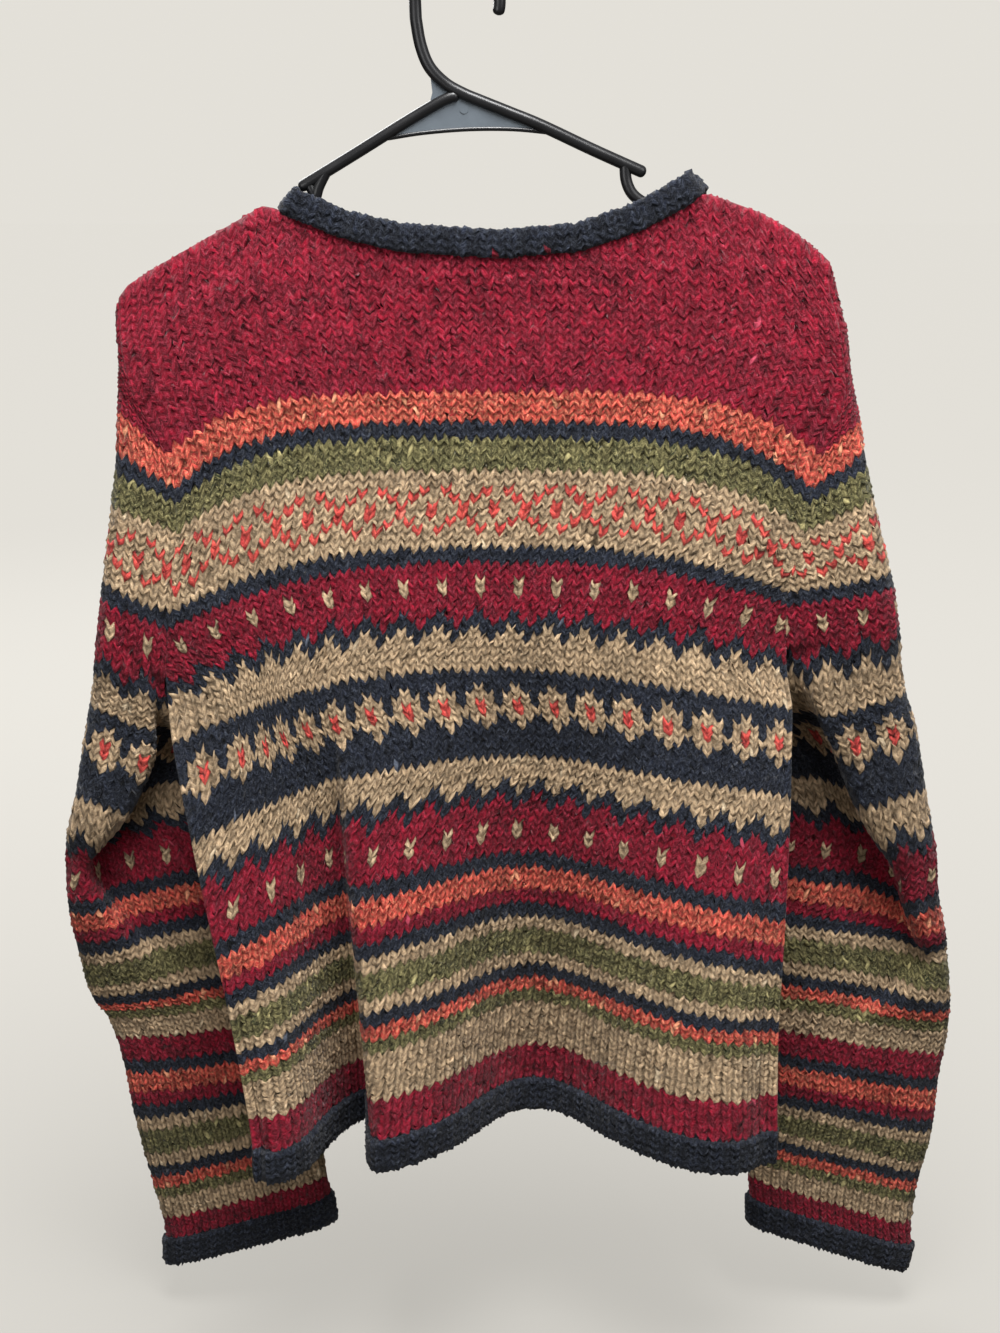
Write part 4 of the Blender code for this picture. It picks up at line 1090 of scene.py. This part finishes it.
WEB = ((-39, -94), (-20, -82), (2, -70), (26, -79.5), (53, -91.5), (32, -90), (6, -90), (-20, -92))
SMALL_WEB = ((-16, -57), (-5, -66), (1, -70), (-8, -75), (-17, -79), (-14.5, -70))


def only(piece):
    """The one piece that is selected and worked on."""
    bpy.ops.object.select_all(action="DESELECT")
    piece.select_set(True)
    bpy.context.view_layer.objects.active = piece


def catmull(points, samples):
    """A smooth path through points."""
    path = []
    for i in range(len(points) - 1):
        before, low = points[max(i - 1, 0)], points[i]
        high, after = points[i + 1], points[min(i + 2, len(points) - 1)]
        for step in range(samples):
            t = step / samples
            path.append(tuple(
                0.5 * (2 * b + (c - a) * t + (2 * a - 5 * b + 4 * c - d) * t * t
                       + (3 * b - a - 3 * c + d) * t ** 3)
                for a, b, c, d in zip(before, low, high, after)))
    path.append(tuple(points[-1]))
    return path


def rod(name, path, radius):
    """A round plastic rod along a flat path, with rounded ends."""

    def rounded_end(tip, before):
        way = (Vector(tip) - Vector(before)).normalized()
        turns = [math.radians(angle) for angle in ROD_END_ANGLES]
        return [(Vector(tip) + way * radius * math.sin(turn) * ROD_END, math.cos(turn)) for turn in turns]

    ring = rounded_end(path[0], path[1]) + [(Vector(point), 1.0) for point in path]
    ring += rounded_end(path[-1], path[-2])[::-1]
    bpy.ops.object.select_all(action="DESELECT")
    bpy.ops.curve.primitive_nurbs_path_add()
    line = bpy.context.object
    line.name = name
    line.location = (0.0, 0.0, 0.0)
    curve = line.data
    curve.splines.clear()
    spline_points = curve.splines.new("POLY").points
    spline_points.add(len(ring) - 1)
    for point, (place, thick) in zip(spline_points, ring):
        point.co = (place.x * MM, 0.0, place.y * MM, 1.0)
        point.radius = thick
    curve.bevel_depth = radius * MM
    curve.bevel_resolution = ROD_SIDES
    curve.use_fill_caps = True
    only(line)
    bpy.ops.object.convert(target="MESH")
    made = bpy.context.object
    bpy.ops.object.mode_set(mode="EDIT")
    bpy.ops.mesh.select_all(action="SELECT")
    bpy.ops.mesh.remove_doubles(threshold=ROD_WELD)
    bpy.ops.mesh.normals_make_consistent(inside=False)
    bpy.ops.object.mode_set(mode="OBJECT")
    return made


def plate(name, corners, thick):
    """A flat web between the rods, its edges softened."""
    bpy.ops.object.select_all(action="DESELECT")
    bpy.ops.mesh.primitive_circle_add(vertices=len(corners), fill_type="NGON", radius=MM)
    made = bpy.context.object
    made.name = name
    for vertex, (x, height) in zip(made.data.vertices, corners):
        vertex.co = (x * MM, -thick / 2 * MM, height * MM)
    bpy.ops.object.mode_set(mode="EDIT")
    bpy.ops.mesh.select_all(action="SELECT")
    bpy.ops.mesh.extrude_region_move(TRANSFORM_OT_translate={"value": (0.0, thick * MM, 0.0)})
    bpy.ops.mesh.select_all(action="SELECT")
    bpy.ops.mesh.normals_make_consistent(inside=False)
    bpy.ops.object.mode_set(mode="OBJECT")
    return made


def hanger():
    """The hanger: hook running into the right arm, the left arm under it, shoulder rails, links and rim."""
    centre = HOOK_ROD - HOOK_RADIUS
    arc = []
    for step in range(HOOK_STEPS):
        angle = math.radians(blend(HOOK_START, 180.0, step / HOOK_STEPS))
        arc.append((HOOK_RADIUS * math.cos(angle), centre + HOOK_RADIUS * math.sin(angle)))
    return joined([
        rod("hanger_body", arc + catmull(HOOK_AND_ARM, HOOK_BENDS), HOOK_ROD),
        rod("left_arm", catmull(LEFT_ARM, ROD_BENDS), ROD_RADIUS),
        rod("rail_left", catmull(RAIL_LEFT, ROD_BENDS), RAIL_RADIUS),
        rod("rail_right", catmull(RAIL_RIGHT, ROD_BENDS), RAIL_RADIUS),
        rod("link_left", catmull(LINK_LEFT, ROD_BENDS), LINK_RADIUS),
        rod("web_rim", catmull(WEB_RIM, ROD_BENDS), WEB_RIM_RADIUS)])


def joined(parts):
    """Several parts made one piece, at the origin."""
    bpy.ops.object.select_all(action="DESELECT")
    for piece in parts:
        piece.select_set(True)
    bpy.context.view_layer.objects.active = parts[0]
    bpy.ops.object.join()
    made = bpy.context.object
    only(made)
    bpy.ops.object.transform_apply(location=True, rotation=True, scale=True)
    bpy.ops.object.shade_smooth_by_angle(angle=SMOOTH_ANGLE)
    return made


def hanger_web():
    """The two thin webs between the hook and the arms, with the gate mark of the moulding."""
    turns = np.linspace(0.0, 2.0 * math.pi, GATE_SIDES + 1)[:-1]
    rim = [(GATE_X + GATE_RADIUS * math.cos(turn), GATE_HEIGHT + GATE_RADIUS * math.sin(turn))
           for turn in turns]
    gate = plate("web_gate", rim, GATE_THICK)
    return joined([plate("hanger_web", WEB, WEB_THICK), plate("small_web", SMALL_WEB, WEB_THICK), gate])


def button(number):
    """A plain four-hole button with a rim, sewn on the outer band."""
    top = FRONT_NECK_LOW + TOP_BUTTON_RISE
    bottom = float(body("height", 0.0)) - FRONT_DROP - LOW_BUTTON_DROP
    height = blend(top, bottom, number / (BUTTON_COUNT - 1))
    lean = (front_depth(MIDDLE_X, row_at(height - BUTTON_RADIUS))
            - front_depth(MIDDLE_X, row_at(height + BUTTON_RADIUS)))
    depth = front_depth(MIDDLE_X, row_at(height)) + OVER_BAND_LIFT + WALL + BUTTON_CLEAR + BUTTON_THICK / 2
    bpy.ops.object.select_all(action="DESELECT")
    bpy.ops.mesh.primitive_cylinder_add(
        vertices=BUTTON_SIDES, radius=BUTTON_RADIUS * MM, depth=BUTTON_THICK * MM)
    made = bpy.context.object
    made.name = "button_%d_sewn" % (number + 1)
    bpy.ops.object.mode_set(mode="EDIT")
    bpy.ops.mesh.select_all(action="DESELECT")
    bpy.ops.object.mode_set(mode="OBJECT")
    for face in made.data.polygons:
        face.select = face.normal.z < FACING_DOWN
    bpy.ops.object.mode_set(mode="EDIT")
    for inset, sunk in BUTTON_STEPS:
        bpy.ops.mesh.inset(thickness=inset * MM)
        bpy.ops.transform.translate(value=(0.0, 0.0, sunk * MM))
    bpy.ops.object.mode_set(mode="OBJECT")
    edge = made.modifiers.new("Edge", "BEVEL")
    edge.width = BUTTON_BEVEL * MM
    edge.segments = BUTTON_BEVEL_STEPS
    edge.limit_method = "ANGLE"
    bpy.ops.object.modifier_apply(modifier=edge.name)
    for x, y in ((-1, -1), (1, -1), (-1, 1), (1, 1)):
        place = (x * HOLE_PLACE * MM, y * HOLE_PLACE * MM, 0)
        bpy.ops.mesh.primitive_cylinder_add(
            vertices=HOLE_SIDES, radius=HOLE_RADIUS * MM, depth=HOLE_DEEP * MM, location=place)
        cutter = bpy.context.object
        only(made)
        hole = made.modifiers.new("Hole", "BOOLEAN")
        hole.object = cutter
        bpy.ops.object.modifier_apply(modifier=hole.name)
        bpy.data.objects.remove(cutter)
    only(made)
    made.rotation_euler = (math.radians(90) + math.atan2(lean, 2 * BUTTON_RADIUS), 0.0, 0.0)
    made.location = (MIDDLE_X * MM, depth * MM, height * MM)
    bpy.ops.object.transform_apply(location=True, rotation=True, scale=True)
    bpy.ops.object.shade_smooth_by_angle(angle=SMOOTH_ANGLE)
    return made


def socket(group, name, kind, way, value=None):
    """A named socket on a node group."""
    made = group.interface.new_socket(name=name, in_out=way, socket_type=kind)
    if value is not None:
        made.default_value = value
    return made


def node(tree, kind, place, **settings):
    """A node of a tree, set up."""
    made = tree.nodes.new(kind)
    made.location = place
    for name, value in settings.items():
        setattr(made, name, value)
    return made


def math_node(tree, operation, first, second, place):
    """A maths node on two values, each a socket or a number."""
    made = node(tree, "ShaderNodeMath", place, operation=operation)
    for slot_number, value in enumerate((first, second)):
        if isinstance(value, (int, float)):
            made.inputs[slot_number].default_value = value
        elif value is not None:
            tree.links.new(value, made.inputs[slot_number])
    return made.outputs[0]


def value_node(tree, source, low, high, place, start=0.0, stop=1.0, smooth=False):
    """A value taken from one range to another."""
    made = node(tree, "ShaderNodeMapRange", place, interpolation_type="SMOOTHSTEP" if smooth else "LINEAR")
    for name, value in (("From Min", start), ("From Max", stop), ("To Min", low), ("To Max", high)):
        made.inputs[name].default_value = value
    tree.links.new(source, made.inputs["Value"])
    return made.outputs[0]


def noise_node(tree, source, scale, detail, place, curled=0.0):
    """Noise at a source of coordinates."""
    made = node(tree, "ShaderNodeTexNoise", place)
    made.inputs["Distortion"].default_value = curled
    made.inputs["Scale"].default_value = scale
    made.inputs["Detail"].default_value = detail
    tree.links.new(source, made.inputs["Vector"])
    return made.outputs["Fac"]


def stretched(tree, source, scale, place):
    """Coordinates scaled by axis."""
    made = node(tree, "ShaderNodeVectorMath", place, operation="MULTIPLY")
    made.inputs[1].default_value = scale
    tree.links.new(source, made.inputs[0])
    return made.outputs[0]


# Wool: the painted shade in the creases between stitches and the painted highlight on the legs, and at which
# lofts
GAP_SHADE = 0.40
LEG_HIGHLIGHT = 1.16
GAP_LOFTS = (0.12, 0.92)
# How often strands and stray fibres come in a stitch, across and up; fuzz and patches come per metre
STRAND_SCALE = (2.4, 8.0, 1.0)
STRAY_SCALE = (3.6, 13.0, 1.0)
HAIR_SCALE = 300.0
HAIR_CURL = 1.4
HAIR_WIDE = 0.045
FUZZ_SCALE = 950.0
PATCH_SCALE = 40.0
# The shades that each takes the yarn between
STRAND_SHADES = (0.40, 1.60)
FUZZ_SHADES = (0.30, 1.70)
PATCH_SHADES = (0.72, 1.28)
STRAY_START = 0.50
STRAY_FULL = 0.68
HAIR_LIGHT = 0.9
STRAND_RELIEF = 1.4
HAIR_RELIEF = 0.5


def fibre_group():
    """Shared look of spun wool: strands along each leg, stray light fibres, painted shade in gaps, painted
    highlight on legs.
    """
    group = bpy.data.node_groups.new("Wool fibre", "ShaderNodeTree")
    socket(group, "Yarn", "NodeSocketColor", "INPUT", (0.5, 0.5, 0.5, 1.0))
    socket(group, "Light fibre", "NodeSocketColor", "INPUT", (0.8, 0.8, 0.8, 1.0))
    socket(group, "Light share", "NodeSocketFloat", "INPUT", 0.3)
    socket(group, "Colour", "NodeSocketColor", "OUTPUT")
    socket(group, "Height", "NodeSocketFloat", "OUTPUT")
    ends = node(group, "NodeGroupInput", (-1400, 0))
    result = node(group, "NodeGroupOutput", (1000, 0))
    place = node(group, "ShaderNodeTexCoord", (-1400, -300))
    stitch = node(group, "ShaderNodeAttribute", (-1400, -600), attribute_name="stitch")
    loft = node(group, "ShaderNodeAttribute", (-1400, 400), attribute_name="loft")
    in_strand = stretched(group, stitch.outputs["Vector"], STRAND_SCALE, (-1200, -500))
    in_stray = stretched(group, stitch.outputs["Vector"], STRAY_SCALE, (-1200, -700))
    strand = noise_node(group, in_strand, 1.0, 3.0, (-1000, -450))
    stray = noise_node(group, in_stray, 1.0, 2.0, (-1000, -700))
    curl = noise_node(group, place.outputs["Object"], HAIR_SCALE, 1.0, (-1000, -950), HAIR_CURL)
    off_hair = math_node(group, "SUBTRACT", curl, 0.5, (-850, -950))
    off_hair = math_node(group, "ABSOLUTE", off_hair, None, (-750, -950))
    hair = value_node(group, off_hair, 1.0, 0.0, (-600, -950), 0.0, HAIR_WIDE, True)
    fuzz = noise_node(group, place.outputs["Object"], FUZZ_SCALE, 3.0, (-1000, -150))
    patch = noise_node(group, place.outputs["Object"], PATCH_SCALE, 2.0, (-1000, 100))
    # Painted shade in the creases and a painted highlight on the legs, by the loft attribute
    painted_light = value_node(group, loft.outputs["Fac"], GAP_SHADE, LEG_HIGHLIGHT, (-1000, 400), *GAP_LOFTS, True)
    shades = [value_node(group, strand, *STRAND_SHADES, (-700, -450)),
              value_node(group, fuzz, *FUZZ_SHADES, (-700, -150)),
              value_node(group, patch, *PATCH_SHADES, (-700, 100))]
    tone = painted_light
    for step, shade in enumerate(shades):
        tone = math_node(group, "MULTIPLY", tone, shade, (-450 + 150 * step, 0))
    toned = node(group, "ShaderNodeVectorMath", (100, 100), operation="SCALE")
    group.links.new(ends.outputs["Yarn"], toned.inputs[0])
    group.links.new(tone, toned.inputs["Scale"])
    lit = node(group, "ShaderNodeVectorMath", (100, 300), operation="SCALE")
    group.links.new(ends.outputs["Light fibre"], lit.inputs[0])
    group.links.new(painted_light, lit.inputs["Scale"])
    pick = value_node(group, stray, 0.0, 1.0, (-700, -700), STRAY_START, STRAY_FULL, True)
    faint_hair = math_node(group, "MULTIPLY", hair, HAIR_LIGHT, (-500, -800))
    loose = math_node(group, "MAXIMUM", pick, faint_hair, (-450, -700))
    share = math_node(group, "MULTIPLY", loose, ends.outputs["Light share"], (-300, -600))
    mixed = node(group, "ShaderNodeMix", (400, 200), data_type="RGBA")
    group.links.new(share, mixed.inputs[0])
    group.links.new(toned.outputs[0], mixed.inputs[6])
    group.links.new(lit.outputs[0], mixed.inputs[7])
    group.links.new(mixed.outputs[2], result.inputs["Colour"])
    strand_relief = math_node(group, "MULTIPLY", strand, STRAND_RELIEF, (100, -300))
    low_relief = math_node(group, "ADD", strand_relief, fuzz, (300, -300))
    hair_relief = math_node(group, "MULTIPLY", hair, HAIR_RELIEF, (300, -500))
    height = math_node(group, "ADD", low_relief, hair_relief, (500, -300))
    group.links.new(height, result.inputs["Height"])
    return group


FIBRE = fibre_group()


def relief(tree, height, shader, strength, distance):
    """A bump on a shader's normal."""
    bump = node(tree, "ShaderNodeBump", (-200, -250))
    bump.inputs["Strength"].default_value = strength
    bump.inputs["Distance"].default_value = distance
    tree.links.new(height, bump.inputs["Height"])
    tree.links.new(bump.outputs["Normal"], shader.inputs["Normal"])


def wool(name):
    """Wool in the yarns that a piece's own attributes name."""
    made = bpy.data.materials.new(name)
    made.use_nodes = True
    tree = made.node_tree
    shader = tree.nodes["Principled BSDF"]
    shader.inputs["Roughness"].default_value = 0.9
    shader.inputs["Sheen Weight"].default_value = 0.12
    shader.inputs["Sheen Roughness"].default_value = 0.5
    shader.inputs["Specular IOR Level"].default_value = 0.15
    fibre = node(tree, "ShaderNodeGroup", (-450, 0))
    fibre.node_tree = FIBRE
    yarn = node(tree, "ShaderNodeAttribute", (-750, 150), attribute_name="yarn")
    light = node(tree, "ShaderNodeAttribute", (-750, -100), attribute_name="fibre")
    tree.links.new(yarn.outputs["Color"], fibre.inputs["Yarn"])
    tree.links.new(light.outputs["Color"], fibre.inputs["Light fibre"])
    tree.links.new(light.outputs["Alpha"], fibre.inputs["Light share"])
    tree.links.new(fibre.outputs["Colour"], shader.inputs["Base Color"])
    relief(tree, fibre.outputs["Height"], shader, 0.55, 0.0007)
    return made


def plastic(name, colour, roughness, mottled=0.0):
    """Moulded plastic: faint flow marks and scuffs in its gloss."""
    made = bpy.data.materials.new(name)
    made.use_nodes = True
    tree = made.node_tree
    shader = tree.nodes["Principled BSDF"]
    place = node(tree, "ShaderNodeTexCoord", (-900, 0))
    flow = noise_node(tree, place.outputs["Object"], 60.0, 4.0, (-700, 0))
    gloss = value_node(tree, flow, roughness - 0.08, roughness + 0.12, (-450, -100))
    tree.links.new(gloss, shader.inputs["Roughness"])
    tint = node(tree, "ShaderNodeMix", (-450, 150), data_type="RGBA")
    tint.inputs[6].default_value = (*[c * (1.0 - mottled) for c in colour], 1.0)
    tint.inputs[7].default_value = (*[c * (1.0 + mottled) for c in colour], 1.0)
    tree.links.new(flow, tint.inputs[0])
    tree.links.new(tint.outputs[2], shader.inputs["Base Color"])
    relief(tree, flow, shader, 0.1, 0.0002)
    return made


KNIT = wool("Fair isle wool")
NAVY = wool("Navy rib wool")
BLACK = plastic("Black hanger plastic", (0.012, 0.012, 0.013), 0.28, mottled=0.2)
# The web is the hanger's black plastic; its grey colour is a painted reflection
WEB_PAINTED_REFLECTION = plastic("Black web plastic with painted grey reflection", (0.115, 0.135, 0.155), 0.34, mottled=0.25)
HORN = plastic("Dark button plastic", (0.03, 0.022, 0.024), 0.3, mottled=0.5)


def finish_piece(piece, material, slot_name, *nodes):
    """A piece's material, body, and the nodes it stands for, hidden; slot_name is not used."""
    piece.data.materials.clear()
    piece.data.materials.append(material)
    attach(piece, "root")
    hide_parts(*nodes)
    return piece


# The rows and columns knitted, the lowest row in the seam, and how far the sleeves' motifs are moved along
PANEL_ROWS = (-1, 123)
SLEEVE_ROWS = (-1, 149)
BACK_COLUMNS = (-37, 40)
FRONT_LEFT_COLUMNS = (-34, -1)
FRONT_RIGHT_COLUMNS = (1, 32)
SLEEVE_LEFT_COLUMNS = (-32, 34)
SLEEVE_RIGHT_COLUMNS = (-34, 32)
LEFT_SHIFT = -3
RIGHT_SHIFT = 2
surface = panel_surface("back", BACK_EDGES, gather=True)
back = knit("back_knit", surface, PANEL_ROWS, BACK_COLUMNS, BODY_CHART, 1)
surface = panel_surface("front", FRONT_LEFT_EDGES, LEFT_CUT)
front_left = knit("front_left_knit", surface, PANEL_ROWS, FRONT_LEFT_COLUMNS, BODY_CHART, -1)
surface = panel_surface("front", FRONT_RIGHT_EDGES, RIGHT_CUT)
front_right = knit("front_right_knit", surface, PANEL_ROWS, FRONT_RIGHT_COLUMNS, BODY_CHART, -1)
surface = sleeve_surface("left", shoulder_row("left"))
sleeve_left = knit(
    "sleeve_left_knit", surface, SLEEVE_ROWS, SLEEVE_LEFT_COLUMNS, SLEEVE_CHART, 1, shift=LEFT_SHIFT)
surface = sleeve_surface("right", shoulder_row("right"))
sleeve_right = knit(
    "sleeve_right_knit", surface, SLEEVE_ROWS, SLEEVE_RIGHT_COLUMNS, SLEEVE_CHART, 1, shift=RIGHT_SHIFT)
for piece, part_node in ((back, "back"), (front_left, "front_left"), (front_right, "front_right"),
                         (sleeve_left, "sleeve_left"), (sleeve_right, "sleeve_right")):
    finish_piece(piece, KNIT, "fair_isle_knit", part_node)
hem_back = finish_piece(hem("hem_back_rib", "back"), NAVY, "navy_rib", "hem_band_back")
hem_left = hem("hem_front_left_rib", "front", LEFT_CUT)
finish_piece(hem_left, NAVY, "navy_rib", "hem_band_front_left")
hem_right = hem("hem_front_right_rib", "front", RIGHT_CUT)
finish_piece(hem_right, NAVY, "navy_rib", "hem_band_front_right")
cuff_left = finish_piece(cuff("left"), NAVY, "navy_rib", "cuff_left")
cuff_right = finish_piece(cuff("right"), NAVY, "navy_rib", "cuff_right")
neck = finish_piece(neckband(), NAVY, "navy_rib", "neckband")
band_left = finish_piece(button_band("left", UNDER_BAND_LIFT), NAVY, "navy_rib", "button_band_left")
band_right = finish_piece(button_band("right", OVER_BAND_LIFT), NAVY, "navy_rib", "button_band_right")
buttons = [finish_piece(button(number), HORN, "button_plastic", "button_%d" % (number + 1))
           for number in range(BUTTON_COUNT)]
finish_piece(hanger(), BLACK, "black_plastic", "hanger")
finish_piece(hanger_web(), WEB_PAINTED_REFLECTION, "black_plastic", "hanger")

# Floor, world, lights and camera. The floor glows as the pale wall does, and less near the cardigan, a
# painted shade
FLOOR = -0.915
PALE = (0.770, 0.745, 0.690)
FLOOR_SHADE = 0.13
AMBIENT = 0.18
FAR_GLOW = 0.975
NEAR_PAINTED_SHADE = 0.42
DIP_FADE = 0.85
LENS = 48.6
CAMERA_PLACE = (0.0242, -1.080, -0.115)
CAMERA_DOWN = 15.3
bpy.ops.object.select_all(action="DESELECT")
bpy.ops.mesh.primitive_plane_add(size=60.0, location=(0.0, 0.0, FLOOR))
floor = bpy.context.object
floor.name = "floor"
pale = bpy.data.materials.new("Pale floor")
pale.use_nodes = True
tree = pale.node_tree
pale_shader = tree.nodes["Principled BSDF"]
pale_shader.inputs["Base Color"].default_value = (*[FLOOR_SHADE * c for c in PALE], 1.0)
pale_shader.inputs["Roughness"].default_value = 1.0
pale_shader.inputs["Specular IOR Level"].default_value = 0.0
pale_shader.inputs["Emission Color"].default_value = (*PALE, 1.0)
seen = node(tree, "ShaderNodeLightPath", (-600, -400))
on_floor = node(tree, "ShaderNodeTexCoord", (-1400, -200))
away_from = node(tree, "ShaderNodeVectorMath", (-1200, -200), operation="LENGTH")
tree.links.new(on_floor.outputs["Object"], away_from.inputs[0])
fading = math_node(tree, "MULTIPLY", away_from.outputs["Value"], -1.0 / DIP_FADE, (-1000, -200))
near = math_node(tree, "EXPONENT", fading, None, (-800, -200))
# Painted shade: the floor's glow dips near the cardigan
painted_shade_dip = math_node(tree, "MULTIPLY", near, -NEAR_PAINTED_SHADE, (-600, -200))
level = math_node(tree, "ADD", painted_shade_dip, FAR_GLOW, (-400, -200))
glow = math_node(tree, "MULTIPLY", seen.outputs["Is Camera Ray"], level, (-200, -200))
tree.links.new(glow, pale_shader.inputs["Emission Strength"])
floor.data.materials.append(pale)

world = bpy.data.worlds.new("Pale room")
bpy.context.scene.world = world
world.use_nodes = True
room = world.node_tree.nodes["Background"]
room.inputs["Color"].default_value = (*PALE, 1.0)
looked_at = node(world.node_tree, "ShaderNodeLightPath", (-600, 0))
strength = value_node(world.node_tree, looked_at.outputs["Is Camera Ray"], AMBIENT, 1.0, (-300, 0))
world.node_tree.links.new(strength, room.inputs["Strength"])


def area_light(name, place, aim, size, power):
    """A soft square light aimed at a point."""
    light = bpy.data.lights.new(name, "AREA")
    light.size = size
    light.energy = power
    lamp = bpy.data.objects.new(name, light)
    lamp.location = place
    lamp.rotation_euler = (Vector(aim) - Vector(place)).to_track_quat("-Z", "Y").to_euler()
    bpy.context.scene.collection.objects.link(lamp)


# Each light's name, place, aim, size and power
for light in (
        ("key", (0.10, -0.70, 1.22), (0.04, 0.0, -0.3), 0.8, 62.0),
        ("right fill", (1.3, -1.0, 0.6), (0.1, 0.0, -0.25), 1.0, 9.0),
        ("left fill", (-0.9, -1.3, -0.25), (-0.2, 0.0, -0.75), 0.9, 6.0),
        ("front fill", (-0.9, 1.9, 0.9), (0.03, 0.0, -0.45), 1.6, 40.0)):
    area_light(*light)

lens = bpy.data.cameras.new("camera")
lens.lens = LENS
lens.sensor_width = 36.0
camera = bpy.data.objects.new("camera", lens)
camera.location = CAMERA_PLACE
camera.rotation_euler = (math.radians(90.0 - CAMERA_DOWN), 0.0, 0.0)
bpy.context.scene.collection.objects.link(camera)
bpy.context.scene.camera = camera
bpy.context.scene.view_settings.view_transform = "Standard"
